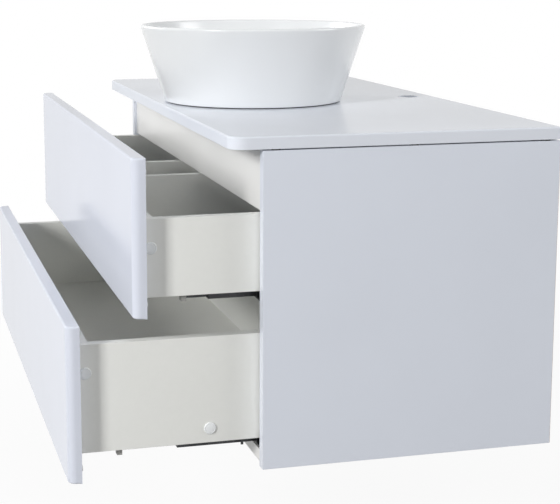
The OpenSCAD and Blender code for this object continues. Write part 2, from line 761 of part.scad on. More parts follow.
// Drawer member: a channel open downwards, inside the middle member, that carries the floor
module drawer_member(box_z) {
    half = steel_t / 2;
    top_v = floor_recess - half;
    rim = track_gap + member_lip;
    runner_bar(member_front_y, box_back_y - member_front_y, box_z) {
        sheet([[member_u + half, member_v], [member_u + half, top_v],
               [member_inner_u - half, top_v], [member_inner_u - half, member_v]], steel_t);
        sheet([[member_u - rim, top_v], [member_inner_u + rim, top_v]], steel_t);
    }
    runner_bar(box_back_y, steel_t, box_z)
        translate([member_u, top_v - half]) square([member_inner_u - member_u, tab_rise]);
    rod_back(rear_pin_x, box_back_y - rear_pin_len, box_z + rear_pin_v, rear_pin_r,
             rear_pin_len + half);
}

// The hole for a drawer member's pin in the drawer's back
module rear_pin_hole(box_z) {
    rod_back(rear_pin_x, box_back_y - rear_pin_len - 1, box_z + rear_pin_v,
             rear_pin_r + fit_clear, rear_pin_len + 2);
}

module upper_cabinet_runners() color(steel_grey) both_sides() cabinet_member(upper_box_z);
module lower_cabinet_runners() color(steel_grey) both_sides() cabinet_member(lower_box_z);
module upper_glides() color(steel_grey) pulled_out(upper_open / 2) both_sides()
    glide_member(upper_box_z);
module lower_glides() color(steel_grey) pulled_out(lower_open / 2) both_sides()
    glide_member(lower_box_z);
module upper_drawer_runners() color(steel_grey) pulled_out(upper_open) both_sides()
    drawer_member(upper_box_z);
module lower_drawer_runners() color(steel_grey) pulled_out(lower_open) both_sides()
    drawer_member(lower_box_z);

module runner_screws() color(zinc_grey) both_sides() for (box_z = [lower_box_z, upper_box_z])
    for (y = runner_screw_ys) panel_screw(inner_x - steel_t, y, box_z + flange_rise / 2);

// A strip of a ball cage standing in the gap that starts at gap_u, with its balls
module ball_strip(gap_u, v, y0, box_z) {
    mid_x = inner_x - gap_u - track_gap / 2;
    pitch = cage_len / ball_count;
    ball_ys = [for (i = [0 : ball_count - 1]) y0 + (i + 0.5) * pitch];
    difference() {
        block([mid_x - cage_t / 2, y0, box_z + v - cage_h / 2],
              [mid_x + cage_t / 2, y0 + cage_len, box_z + v + cage_h / 2]);
        for (y = ball_ys) rod_inwards(mid_x + cage_t, y, box_z + v, ball_r + fit_clear, 2 * cage_t);
    }
    for (y = ball_ys) translate([mid_x, y, box_z + v]) sphere(r = ball_r, $fn = 24);
}

// Between the cabinet member and the middle member
module outer_ball_cage(box_z) {
    for (gap_u = [rail_u + steel_t, glide_u + glide_w])
        ball_strip(gap_u, outer_cage_v, outer_cage_y, box_z);
}

// Between the middle member and the drawer member
module inner_ball_cage(box_z) {
    for (gap_u = [glide_u + steel_t, member_inner_u])
        ball_strip(gap_u, inner_cage_v, inner_cage_y, box_z);
}

module upper_outer_ball_cages() color(plastic_grey) pulled_out(upper_open / 4) both_sides()
    outer_ball_cage(upper_box_z);
module upper_inner_ball_cages() color(plastic_grey) pulled_out(upper_open * 3 / 4) both_sides()
    inner_ball_cage(upper_box_z);
module lower_outer_ball_cages() color(plastic_grey) pulled_out(lower_open / 4) both_sides()
    outer_ball_cage(lower_box_z);
module lower_inner_ball_cages() color(plastic_grey) pulled_out(lower_open * 3 / 4) both_sides()
    inner_ball_cage(lower_box_z);

// Soft-close damper on the cabinet member's web: a cylinder with end blocks, a foot and a rod
module damper(box_z) {
    y1 = damper_front_y + damper_end_t;
    y2 = damper_back_y - damper_end_t;
    x = inner_x - damper_u;
    rod_back(x, y1 - 1, box_z + damper_v, damper_r, y2 - y1 + 2);
    rod_back(x, damper_front_y - damper_rod_len, box_z + damper_v, damper_rod_r,
             damper_rod_len + 1);
    for (y = [damper_front_y, y2]) runner_bar(y, damper_end_t, box_z)
        translate([damper_u - damper_r - 1, web_top_v])
            square([2 * damper_r + 2, damper_v + damper_r - web_top_v]);
    runner_bar(damper_front_y, damper_len, box_z)
        translate([damper_u - damper_foot_w / 2, web_top_v]) square([damper_foot_w, damper_foot_t]);
}

module runner_dampers() color(plastic_grey) both_sides()
    for (box_z = [lower_box_z, upper_box_z]) damper(box_z);

// Locking clip: a plate under the drawer floor with a foot that hangs down beside the runner,
// a release lever on the inner side and a wheel that sets the drawer's height
module locking_clip(box_z) {
    runner_bar(subfront_in_y, member_front_y - subfront_in_y, box_z)
        translate([clip_u, floor_recess - clip_plate_t])
            square([rail_inner_u - clip_u, clip_plate_t]);
    runner_bar(member_front_y - clip_foot_l, clip_foot_l, box_z)
        translate([clip_u, clip_foot_v]) {
            square([clip_leg_t, floor_recess - clip_foot_v]);
            translate([-clip_foot_w, 0])
                square([clip_foot_w + clip_leg_t, -clip_foot_v - clip_gap]);
        }
    plate_v = floor_recess - clip_plate_t;
    runner_bar(subfront_in_y + clip_gap, clip_lever_w, box_z) {
        translate([rail_inner_u - 1, plate_v]) square([clip_lever_u + 1, clip_plate_t]);
        translate([rail_inner_u + clip_lever_u - clip_plate_t, floor_recess - clip_lever_drop])
            square([clip_plate_t, clip_lever_drop]);
    }
    translate([inner_x - glide_u - glide_w / 2, (subfront_in_y + member_front_y) / 2,
               box_z + plate_v - clip_wheel_t])
        ridged(clip_wheel_r - ridge_r, clip_wheel_t + clip_plate_t / 2);
}

module upper_locking_clips() color(plastic_grey) pulled_out(upper_open) both_sides()
    locking_clip(upper_box_z);
module lower_locking_clips() color(plastic_grey) pulled_out(lower_open) both_sides()
    locking_clip(lower_box_z);

// ---------------------------------------------------------------- drawers

// A drawer front: upright edges rounded at the front, square at the back
module front_slab(z0) {
    r = front_corner_r;
    y0 = front_back_y - front_t;
    translate([0, 0, z0]) linear_extrude(front_h) {
        translate([-half_w, y0 + r]) square([cabinet_w, front_t - r]);
        translate([-half_w + r, y0]) square([cabinet_w - 2 * r, r + 1]);
        for (s = [-1, 1]) intersection() {
            translate([s * (half_w - r), y0 + r]) circle(r = r);
            translate([s * (half_w - r) - r, y0]) square([2 * r, r]);
        }
    }
}

// Heights of the two rows of screws that hold a front
function front_screw_zs(box_z, box_h) =
    [box_z + floor_recess + board_t + front_screw_rise, box_z + box_h - front_screw_drop];

module front_screw_holes(box_z, box_h) {
    for (x = front_screw_xs) for (z = front_screw_zs(box_z, box_h))
        rod_back(x, box_front_y - front_screw_hole_d, z, screw_r + fit_clear,
                 board_t + front_screw_hole_d + 1);
}

module front_screws(box_z, box_h) {
    for (x = front_screw_xs) for (z = front_screw_zs(box_z, box_h)) {
        rod_back(x, box_front_y - front_screw_len, z, screw_r,
                 board_t + front_screw_len + screw_head_t / 2);
        rod_back(x, subfront_in_y, z, screw_head_r, screw_head_t);
    }
}

module subfront(box_z, box_h) {
    difference() {
        block([-box_inner_x, box_front_y, box_z + floor_recess],
              [box_inner_x, subfront_in_y, box_z + box_h]);
        front_screw_holes(box_z, box_h);
    }
}

module box_side(box_z, box_h) {
    block([box_inner_x, box_front_y, box_z], [box_half_w, box_back_y, box_z + box_h]);
}

// Round caps over the screws in the drawer sides
module screw_caps(box_z, box_h) {
    top_z = box_z + box_h - cap_top_drop;
    floor_mid_z = box_z + floor_recess + board_t / 2;
    both_sides() for (p = [[front_back_y + cap_front_in, top_z],
                           [front_back_y + cap_mid_in, floor_mid_z],
                           [box_back_y - board_t / 2, top_z]])
        translate([box_half_w, p[0], p[1]]) rotate([0, 90, 0]) rotate_extrude()
            polygon(concat([[0, 0], [cap_r, 0], [cap_r, cap_rim]],
                           arc(cap_r - cap_t + cap_rim, cap_rim, cap_t - cap_rim, 10, 90, 6),
                           [[0, cap_t]]));
}

module bumpers(front_z) {
    both_sides() for (z = [front_z + bumper_inset, front_z + front_h - bumper_inset])
        rod_back(half_w - panel_t / 2, front_back_y, z, bumper_r, bumper_t - bumper_gap);
}

module upper_front() color(front_white) pulled_out(upper_open) difference() {
    front_slab(upper_front_z);
    front_screw_holes(upper_box_z, upper_box_h);
}

module upper_subfront() color(board_white) pulled_out(upper_open)
    subfront(upper_box_z, upper_box_h);
module upper_side_left() color(board_white) pulled_out(upper_open) mirror([1, 0, 0])
    box_side(upper_box_z, upper_box_h);
module upper_side_right() color(board_white) pulled_out(upper_open)
    box_side(upper_box_z, upper_box_h);

module upper_floor() color(board_white) pulled_out(upper_open) difference() {
    z0 = upper_box_z + floor_recess;
    block([-box_inner_x, subfront_in_y, z0], [box_inner_x, back_in_y, z0 + board_t]);
    block([-trap_wall_x, cut_out_front_y - board_t, z0 - 1],
          [trap_wall_x, back_in_y + 1, z0 + board_t + 1]);
}

module upper_back() {
    difference() {
        block([trap_wall_x, back_in_y, upper_box_z + floor_recess],
              [box_inner_x, box_back_y, upper_box_z + upper_box_h]);
        rear_pin_hole(upper_box_z);
    }
}

module upper_back_left() color(board_white) pulled_out(upper_open) mirror([1, 0, 0]) upper_back();
module upper_back_right() color(board_white) pulled_out(upper_open) upper_back();

module trap_wall() {
    block([cut_out_x, cut_out_front_y - board_t, upper_box_z + floor_recess],
          [trap_wall_x, box_back_y, upper_box_z + upper_box_h]);
}

module trap_wall_left() color(board_white) pulled_out(upper_open) mirror([1, 0, 0]) trap_wall();
module trap_wall_right() color(board_white) pulled_out(upper_open) trap_wall();
module trap_wall_front() color(board_white) pulled_out(upper_open)
    block([-cut_out_x, cut_out_front_y - board_t, upper_box_z + floor_recess],
          [cut_out_x, cut_out_front_y, upper_box_z + upper_box_h]);

module upper_screw_caps() color(plastic_white) pulled_out(upper_open)
    screw_caps(upper_box_z, upper_box_h);
module upper_front_screws() color(zinc_grey) pulled_out(upper_open)
    front_screws(upper_box_z, upper_box_h);
module upper_front_bumpers() color(plastic_white) pulled_out(upper_open) bumpers(upper_front_z);

module lower_front() color(front_white) pulled_out(lower_open) difference() {
    front_slab(lower_front_z);
    front_screw_holes(lower_box_z, lower_box_h);
}

module lower_subfront() color(board_white) pulled_out(lower_open)
    subfront(lower_box_z, lower_box_h);
module lower_side_left() color(board_white) pulled_out(lower_open) mirror([1, 0, 0])
    box_side(lower_box_z, lower_box_h);
module lower_side_right() color(board_white) pulled_out(lower_open)
    box_side(lower_box_z, lower_box_h);

module lower_floor() color(board_white) pulled_out(lower_open)
    block([-box_inner_x, subfront_in_y, lower_box_z + floor_recess],
          [box_inner_x, back_in_y, lower_box_z + floor_recess + board_t]);

module lower_back() color(board_white) pulled_out(lower_open) difference() {
    block([-box_inner_x, back_in_y, lower_box_z + floor_recess],
          [box_inner_x, box_back_y, lower_box_z + lower_box_h]);
    both_sides() rear_pin_hole(lower_box_z);
}

module lower_screw_caps() color(plastic_white) pulled_out(lower_open)
    screw_caps(lower_box_z, lower_box_h);
module lower_front_screws() color(zinc_grey) pulled_out(lower_open)
    front_screws(lower_box_z, lower_box_h);
module lower_front_bumpers() color(plastic_white) pulled_out(lower_open) bumpers(lower_front_z);

// ---------------------------------------------------------------- nodes

side_panel_left();
side_panel_right();
bottom_panel();
front_rail();
rear_rail_top();
rear_rail_bottom();
countertop();
countertop_pads();
basin();
basin_seal();
waste_body();
waste_washer();
waste_nut();
trap_inlet_tube();
trap_body();
trap_cup();
trap_nuts();
trap_outlet_pipe();
wall_rosette();
hanging_bracket_left();
hanging_bracket_right();
bracket_screws();
cam_locks();
upper_cabinet_runners();
lower_cabinet_runners();
runner_screws();
runner_dampers();
upper_front();
upper_subfront();
upper_side_left();
upper_side_right();
upper_floor();
upper_back_left();
upper_back_right();
trap_wall_left();
trap_wall_right();
trap_wall_front();
upper_drawer_runners();
upper_locking_clips();
upper_screw_caps();
upper_front_screws();
upper_front_bumpers();
lower_front();
lower_subfront();
lower_side_left();
lower_side_right();
lower_floor();
lower_back();
lower_drawer_runners();
lower_locking_clips();
lower_screw_caps();
lower_front_screws();
lower_front_bumpers();
upper_glides();
lower_glides();
upper_outer_ball_cages();
upper_inner_ball_cages();
lower_outer_ball_cages();
lower_inner_ball_cages();
waste_plug();
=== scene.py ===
"""Finishes and fine pieces of a wall-hung vanity with two drawers, a countertop and a round basin.

Every length is in metres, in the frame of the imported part: X to the right, Y into the wall, Z up.
"""

import json
import math

import bpy
import numpy as np
from bpy.props import FloatProperty, FloatVectorProperty, PointerProperty
from mathutils import Matrix, Vector


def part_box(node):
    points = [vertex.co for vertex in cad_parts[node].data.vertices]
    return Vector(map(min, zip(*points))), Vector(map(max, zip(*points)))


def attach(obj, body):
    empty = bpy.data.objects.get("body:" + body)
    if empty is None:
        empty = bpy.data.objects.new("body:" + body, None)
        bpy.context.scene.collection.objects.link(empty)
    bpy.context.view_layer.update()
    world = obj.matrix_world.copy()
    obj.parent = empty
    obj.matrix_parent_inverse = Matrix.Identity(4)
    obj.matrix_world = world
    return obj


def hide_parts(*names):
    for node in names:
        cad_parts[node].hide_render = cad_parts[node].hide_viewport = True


bl_info = {
    "name": "Vessel Basin Vanity",
    "version": (1, 0, 0),
    "blender": (4, 5, 0),
    "location": "View3D > Sidebar > Vanity",
    "description": "Finishes and fine pieces of a wall-hung vanity with a vessel basin",
    "category": "Object",
}

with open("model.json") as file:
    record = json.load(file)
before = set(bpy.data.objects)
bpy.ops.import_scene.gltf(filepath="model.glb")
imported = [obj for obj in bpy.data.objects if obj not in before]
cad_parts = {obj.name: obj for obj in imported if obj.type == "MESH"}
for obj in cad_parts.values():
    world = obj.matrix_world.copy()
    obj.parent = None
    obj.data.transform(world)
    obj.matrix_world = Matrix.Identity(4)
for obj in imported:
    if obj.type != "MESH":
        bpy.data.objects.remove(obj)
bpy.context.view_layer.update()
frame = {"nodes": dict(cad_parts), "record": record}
MM = 0.001
TAU = 2 * math.pi


# ---------------------------------------------------------------- properties


class VanitySizes(bpy.types.PropertyGroup):
    """Sizes of the pieces made here, in metres."""

    def _length(name, text, value):
        return FloatProperty(
            name=name, description=text, unit="LENGTH", min=0.0001, default=value
        )

    foot_radius: _length("Basin foot", "Outer radius of the basin at its foot", 0.152)
    basin_wall: _length("Basin wall", "Thickness of the basin's wall", 0.007)
    basin_floor: _length("Basin floor", "Thickness of the basin's floor at the drain", 0.014)
    bowl_corner: _length("Bowl corner", "Radius between the bowl's floor and its wall", 0.032)
    seat_radius: _length("Waste seat", "Radius of the recess for the waste's flange", 0.0334)
    drain_radius: _length("Drain", "Radius of the drain hole", 0.023)
    stem_radius: _length("Plug stem", "Radius of the waste plug's stem", 0.003)
    front_corner: _length("Front corners", "Radius of the fronts' upright front edges", 0.012)
    front_edge: _length("Front edges", "Rounding of the fronts' top and bottom edges", 0.003)
    back_edge: _length("Back edges", "Rounding of the fronts' edges at the back", 0.0008)
    catch_sheet: _length("Catch sheet", "Thickness of the runners' catches", 0.0015)
    catch_width: _length("Catch width", "Width of the runners' catches along the runner", 0.004)


class VanityColours(bpy.types.PropertyGroup):
    """Colours of the finishes, as scene-linear values."""

    def _colour(name, text, value):
        return FloatVectorProperty(
            name=name, description=text, subtype="COLOR", size=3, min=0, max=1, default=value
        )

    front: _colour("Fronts", "Lacquer of the two drawer fronts", (0.692, 0.721, 0.803))
    foil: _colour("Cabinet", "Foil on the cabinet's panels", (0.736, 0.771, 0.846))
    rail: _colour("Rails", "Foil on the rails between the panels", (0.835, 0.830, 0.812))
    top: _colour("Countertop", "Solid surface of the countertop", (0.770, 0.801, 0.863))
    board: _colour("Drawer boards", "Melamine on the drawer boards", (0.826, 0.830, 0.796))
    glaze: _colour("Glaze", "Glaze of the basin", (0.805, 0.820, 0.830))
    chip: _colour("Chipboard", "Raw edges of the panels", (0.360, 0.235, 0.120))
    # The runner steel is near black. That is partly the steel's own dark tone and partly painted
    # shade, standing in for the shade lines along the runners under the drawers.
    steel: _colour("Runner steel", "Blackened sheet steel of the runners", (0.050, 0.051, 0.054))
    zinc: _colour("Zinc", "Zinc-plated screws, locks and brackets", (0.520, 0.530, 0.540))
    chrome: _colour("Chrome", "Polished chrome", (0.800, 0.810, 0.830))
    plastic: _colour("White plastic", "Moulded pipes and bumpers", (0.780, 0.780, 0.760))
    cap: _colour("Screw caps", "Glossy plastic of the screw caps", (0.850, 0.870, 0.875))
    clip: _colour("Grey plastic", "Locking clips, dampers and ball cages", (0.330, 0.330, 0.315))
    rubber: _colour("Rubber", "Seal, pads and washer", (0.022, 0.021, 0.020))


class VanityStage(bpy.types.PropertyGroup):
    """Camera, lamps and floor."""

    lens: FloatProperty(
        name="Lens", description="Focal length in millimetres", default=90.654, min=10
    )
    camera_place: FloatVectorProperty(
        name="Camera", description="Where the camera stands", subtype="TRANSLATION",
        unit="LENGTH", default=(2.354957, -0.968708, 0.716756),
    )
    camera_yaw: FloatProperty(
        name="Yaw", description="Turn of the view from -X towards +Y", subtype="ANGLE",
        default=0.259438,
    )
    camera_pitch: FloatProperty(
        name="Pitch", description="Fall of the view below the horizon", subtype="ANGLE",
        default=0.167254,
    )
    shift_x: FloatProperty(
        name="Shift X", description="Sideways shift of the view, in widths", default=0.0625
    )
    shift_y: FloatProperty(
        name="Shift Y", description="Upward shift of the view, in widths", default=-0.0929
    )
    floor_z: FloatProperty(
        name="Floor", description="Height of the floor below the cabinet", unit="LENGTH",
        default=-0.27,
    )
    world_light: FloatProperty(
        name="World", description="Strength of the even light from all around", default=0.15, min=0
    )


# ---------------------------------------------------------------- materials


def put(tree, kind, sockets=None, **settings):
    """Adds a node. sockets gives inputs, by name or number, a value or another node's output."""
    node = tree.nodes.new(kind)
    for key, value in settings.items():
        setattr(node, key, value)
    for key, value in (sockets or {}).items():
        if isinstance(value, bpy.types.NodeSocket):
            tree.links.new(value, node.inputs[key])
        else:
            node.inputs[key].default_value = value
    return node


def seen(tree):
    """1 for rays from the camera, out of gloss or through glass, and 0 for all others."""
    rays = put(tree, "ShaderNodeLightPath").outputs
    straight = put(tree, "ShaderNodeMath", {0: rays["Is Camera Ray"], 1: rays["Is Glossy Ray"]},
                   operation="MAXIMUM").outputs[0]
    return put(tree, "ShaderNodeMath", {0: straight, 1: rays["Is Transmission Ray"]},
               operation="MAXIMUM").outputs[0]


def rgba(colour, factor=1.0):
    """A colour times factor, held below 1, with its alpha."""
    return tuple(min(1.0, c * factor) for c in colour) + (1.0,)


class Finish:
    """A material in the making: a Principled shader, its place coordinates and its bumps."""

    def __init__(self, name, **sockets):
        self.material = bpy.data.materials.new(name)
        self.material.use_nodes = True
        self.tree = self.material.node_tree
        self.shader = self.tree.nodes["Principled BSDF"]
        self.place = put(self.tree, "ShaderNodeTexCoord").outputs["Object"]
        for key, value in sockets.items():
            self.shader.inputs[key.replace("_", " ")].default_value = value
        self.normal = None

    def soften(self, radius):
        """Edges that catch the light as if they were rounded by radius metres."""
        self.normal = put(
            self.tree, "ShaderNodeBevel", {"Radius": radius}, samples=4
        ).outputs["Normal"]
        self.drive("Normal", self.normal)

    def stretched(self, scale):
        """Place coordinates, stretched: a pattern gets long where the scale is small."""
        return put(
            self.tree, "ShaderNodeMapping", {"Vector": self.place, "Scale": scale}
        ).outputs["Vector"]

    def noise(self, scale, detail=2.0, roughness=0.5, vector=None):
        return put(
            self.tree, "ShaderNodeTexNoise",
            {"Vector": vector or self.place, "Scale": scale, "Detail": detail,
             "Roughness": roughness},
        ).outputs["Fac"]

    def cells(self, scale, feature="F1", output="Distance", vector=None):
        return put(
            self.tree, "ShaderNodeTexVoronoi", {"Vector": vector or self.place, "Scale": scale},
            feature=feature,
        ).outputs[output]

    def ranged(self, value, low, high, to_low, to_high):
        """value carried from the range low..high to the range to_low..to_high, clamped."""
        return put(
            self.tree, "ShaderNodeMapRange",
            {"Value": value, "From Min": low, "From Max": high, "To Min": to_low,
             "To Max": to_high},
        ).outputs["Result"]

    def mixed(self, factor, a, b):
        """Colour a where factor is 0, b where it is 1."""
        node = put(self.tree, "ShaderNodeMix", data_type="RGBA")
        for index, value in ((0, factor), (6, a), (7, b)):
            if isinstance(value, bpy.types.NodeSocket):
                self.tree.links.new(value, node.inputs[index])
            else:
                node.inputs[index].default_value = value
        return node.outputs[2]

    def maths(self, operation, *values):
        return put(
            self.tree, "ShaderNodeMath", dict(enumerate(values)), operation=operation
        ).outputs[0]

    def drive(self, socket, value):
        self.tree.links.new(value, self.shader.inputs[socket])

    def mottle(self, colour, scale, amount, detail=3.0):
        """Colour that wanders by a share of amount over patches of 1 / scale metres."""
        factor = self.ranged(self.noise(scale, detail), 0.35, 0.65, 0, 1)
        out = self.mixed(factor, rgba(colour, 1 - amount), rgba(colour, 1 + amount))
        self.drive("Base Color", out)
        return out

    def polish(self, base, spread, scale, detail=4.0):
        """Roughness that wanders by spread round base, as handling and wiping leave it."""
        self.drive(
            "Roughness",
            self.ranged(self.noise(scale, detail), 0.3, 0.7, base - spread, base + spread),
        )

    def bump(self, height, depth, strength=1.0):
        """A relief of depth metres on top of the bumps before it."""
        sockets = {"Height": height, "Distance": depth, "Strength": strength}
        if self.normal is not None:
            sockets["Normal"] = self.normal
        self.normal = put(self.tree, "ShaderNodeBump", sockets).outputs["Normal"]
        self.drive("Normal", self.normal)

    def axis(self, name):
        return put(self.tree, "ShaderNodeSeparateXYZ", {0: self.place}).outputs[name]


def lacquer(name, colour, roughness, peel):
    """Sprayed and cured lacquer: orange peel of depth peel, long waves and faint wiping marks."""
    finish = Finish(name, Specular_IOR_Level=0.04)
    finish.mottle(colour, 5.0, 0.008)
    finish.polish(roughness, 0.015, 7.0)
    finish.bump(finish.noise(9.0, 0.0), 0.00005, 0.5)
    finish.bump(finish.noise(360.0, 1.0), peel)
    return finish


def foil(name, colour, chip_colour, back_edge):
    """Foil on chipboard. The edges that stand against the wall are left raw."""
    finish = Finish(name, Coat_Weight=0.15, Coat_Roughness=0.2)
    finish.soften(0.6 * MM)
    face = finish.mottle(colour, 4.0, 0.012)
    finish.polish(0.34, 0.05, 6.0)
    flakes = finish.cells(420.0, output="Color")
    grey = put(finish.tree, "ShaderNodeRGBToBW", {0: flakes}).outputs[0]
    chips = finish.mixed(
        finish.ranged(grey, 0.1, 0.9, 0, 1), rgba(chip_colour, 0.55), rgba(chip_colour, 1.5)
    )
    raw = finish.maths("GREATER_THAN", finish.axis("Y"), back_edge)
    finish.drive("Base Color", finish.mixed(raw, face, chips))
    finish.bump(finish.noise(8.0, 0.0), 0.0003, 0.4)
    finish.bump(finish.noise(520.0, 1.0), 0.00002)
    finish.bump(finish.maths("MULTIPLY", raw, grey), 0.0004, 0.6)
    return finish


def melamine(name, colour):
    """Pressed melamine: a fine pearl relief, faint paper cloud and rub marks from the drawer."""
    finish = Finish(name, Coat_Weight=0.05, Coat_Roughness=0.3)
    finish.soften(0.5 * MM)
    cloud = finish.noise(3.5, 2.0)
    paper = finish.noise(150.0, 3.0, 0.6)
    tone = finish.maths("ADD", finish.maths("MULTIPLY", cloud, 0.6),
                        finish.maths("MULTIPLY", paper, 0.4))
    finish.drive(
        "Base Color",
        finish.mixed(finish.ranged(tone, 0.35, 0.65, 0, 1), rgba(colour, 0.985),
                     rgba(colour, 1.012)),
    )
    finish.polish(0.4, 0.05, 30.0)
    finish.bump(finish.cells(900.0, "SMOOTH_F1"), 0.00002)
    finish.bump(finish.noise(12.0, 1.0), 0.00012, 0.5)
    return finish


def solid_surface(name, colour):
    """Cast and polished countertop: tiny filler grains under a gloss with hairline scratches."""
    finish = Finish(name, Specular_IOR_Level=0.03)
    finish.soften(0.6 * MM)
    grains = finish.ranged(finish.cells(700.0), 0.05, 0.4, 1, 0)
    cloud = finish.ranged(finish.noise(7.0, 3.0), 0.35, 0.65, 0, 1)
    base = finish.mixed(cloud, rgba(colour, 0.988), rgba(colour, 1.01))
    finish.drive(
        "Base Color",
        finish.mixed(finish.maths("MULTIPLY", grains, 0.03), base, rgba(colour, 0.8)),
    )
    scratches = finish.noise(40.0, 2.0, 0.5, finish.stretched((1.0, 14.0, 1.0)))
    finish.drive("Roughness", finish.ranged(scratches, 0.3, 0.7, 0.12, 0.14))
    finish.bump(finish.noise(5.0, 0.0), 0.0001, 0.4)
    return finish


def glaze(name, colour):
    """Fired glaze: a thin clear coat, very shallow waves where it ran, and a few pinholes."""
    finish = Finish(name, Coat_Weight=0.35, Coat_Roughness=0.16, IOR=1.45)
    finish.mottle(colour, 9.0, 0.004)
    finish.polish(0.26, 0.012, 9.0, 2.0)
    pits = finish.ranged(finish.cells(160.0), 0.0, 0.035, 1, 0)
    finish.bump(finish.noise(22.0, 1.0), 0.00002, 0.6)
    finish.bump(finish.noise(110.0, 1.0), 0.000003)
    finish.bump(pits, -0.00001)
    return finish


def chrome(name, colour):
    """Chrome on brass: near-perfect gloss with drying marks and fine wiping scratches."""
    finish = Finish(name, Metallic=1.0)
    spots = finish.ranged(finish.cells(180.0), 0.28, 0.34, 1, 0)
    finish.drive(
        "Base Color", finish.mixed(finish.maths("MULTIPLY", spots, 0.25), rgba(colour),
                                   rgba(colour, 0.8)),
    )
    wiped = finish.noise(220.0, 3.0, 0.6, finish.stretched((1.0, 8.0, 1.0)))
    finish.drive("Roughness", finish.ranged(wiped, 0.3, 0.7, 0.05, 0.13))
    finish.bump(finish.noise(70.0, 1.0), 0.00002)
    return finish


def plated(name, colour, roughness, along, spangle):
    """Zinc plate on steel: pale crystals and rolling marks along one axis."""
    finish = Finish(name, Metallic=0.85)
    finish.soften(0.25 * MM)
    crystals = put(
        finish.tree, "ShaderNodeRGBToBW", {0: finish.cells(spangle, output="Color")}
    ).outputs[0]
    rolled = finish.noise(260.0, 3.0, 0.6, finish.stretched(along))
    tone = finish.maths("ADD", finish.maths("MULTIPLY", crystals, 0.5),
                        finish.maths("MULTIPLY", rolled, 0.5))
    finish.drive(
        "Base Color",
        finish.mixed(finish.ranged(tone, 0.25, 0.75, 0, 1), rgba(colour, 0.78),
                     rgba(colour, 1.25)),
    )
    finish.drive(
        "Roughness", finish.ranged(tone, 0.2, 0.8, roughness - 0.08, roughness + 0.1)
    )
    finish.bump(rolled, 0.00001)
    return finish


def moulded(name, colour, roughness, grain):
    """Moulded plastic: a fine spark-eroded grain, sink marks and slight yellowing."""
    finish = Finish(name)
    finish.mottle(colour, 25.0, 0.02)
    finish.polish(roughness, 0.05, 40.0)
    finish.bump(finish.noise(45.0, 0.0), 0.0001, 0.5)
    finish.bump(finish.noise(grain, 2.0), 0.00003)
    return finish


def elastomer(name, colour):
    """Black rubber: matt, dusty in patches, with a grainy skin."""
    finish = Finish(name)
    dust = finish.ranged(finish.noise(90.0, 4.0, 0.6), 0.5, 0.75, 0, 1)
    finish.drive("Base Color", finish.mixed(dust, rgba(colour), rgba(colour, 2.4)))
    finish.polish(0.72, 0.08, 60.0)
    finish.bump(finish.noise(1400.0, 2.0), 0.00006)
    return finish


FINISHES = {}


def build_finishes(colours):
    """One material for each material slot of the part, plus those of the pieces made here."""
    FINISHES.update(
        carcass=foil("vanity_foil", colours.foil, colours.chip, -0.0004),
        rail=foil("vanity_rail_foil", colours.rail, colours.chip, 1.0),
        countertop=solid_surface("vanity_solid_surface", colours.top),
        front_lacquer=lacquer("vanity_front_lacquer", colours.front, 0.1, 0.000001),
        drawer_board=melamine("vanity_melamine", colours.board),
        basin_glaze=glaze("vanity_basin_glaze", colours.glaze),
        rubber=elastomer("vanity_rubber", colours.rubber),
        chrome=chrome("vanity_chrome", colours.chrome),
        white_plastic=moulded("vanity_white_plastic", colours.plastic, 0.32, 800.0),
        cap=moulded("vanity_cap_plastic", colours.cap, 0.22, 1600.0),
        grey_plastic=moulded("vanity_grey_plastic", colours.clip, 0.5, 1200.0),
        # runner steel: its near-black colour is partly painted shade along the runners
        runner_steel=plated("vanity_runner_steel", colours.steel, 0.42, (1.0, 0.06, 1.0), 90.0),
        zinc_steel=plated("vanity_zinc", colours.zinc, 0.36, (1.0, 1.0, 0.2), 160.0),
    )


# ---------------------------------------------------------------- surfaces


def make_piece(name, points, faces, body, slot, material=None, smooth_angle=35.0):
    """A mesh piece from an array of points and lists of faces, riding on a body."""
    mesh = bpy.data.meshes.new(name)
    mesh.from_pydata(np.asarray(points, float).tolist(), [], faces)
    mesh.polygons.foreach_set("use_smooth", np.ones(len(mesh.polygons), bool))
    mesh.update()
    mesh.set_sharp_from_angle(angle=math.radians(smooth_angle))
    piece = bpy.data.objects.new(name, mesh)
    bpy.context.scene.collection.objects.link(piece)
    mesh.materials.append(FINISHES[material or slot].material)
    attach(piece, body)
    return piece


def grid_faces(rows, columns, wrap_rows=False, wrap_columns=False):
    """The quads of a rows x columns grid of points, closed round where asked."""
    i = np.arange(rows if wrap_rows else rows - 1)[:, None]
    j = np.arange(columns if wrap_columns else columns - 1)[None, :]
    i2, j2 = (i + 1) % rows, (j + 1) % columns
    return np.stack(
        [i * columns + j, i * columns + j2, i2 * columns + j2, i2 * columns + j], -1
    ).reshape(-1, 4).tolist()


def ring_faces(rows, columns):
    """The faces of rings of points that stand in rows, with both ends closed."""
    return grid_faces(rows, columns, wrap_columns=True) + [
        list(range(columns))[::-1], list(range((rows - 1) * columns, rows * columns)),
    ]


def arc(centre, radius, start, end, count):
    """Points on a circle round centre, from angle start to end in degrees."""
    a = np.radians(np.linspace(start, end, count))
    return np.stack([centre[0] + radius * np.cos(a), centre[1] + radius * np.sin(a)], -1)


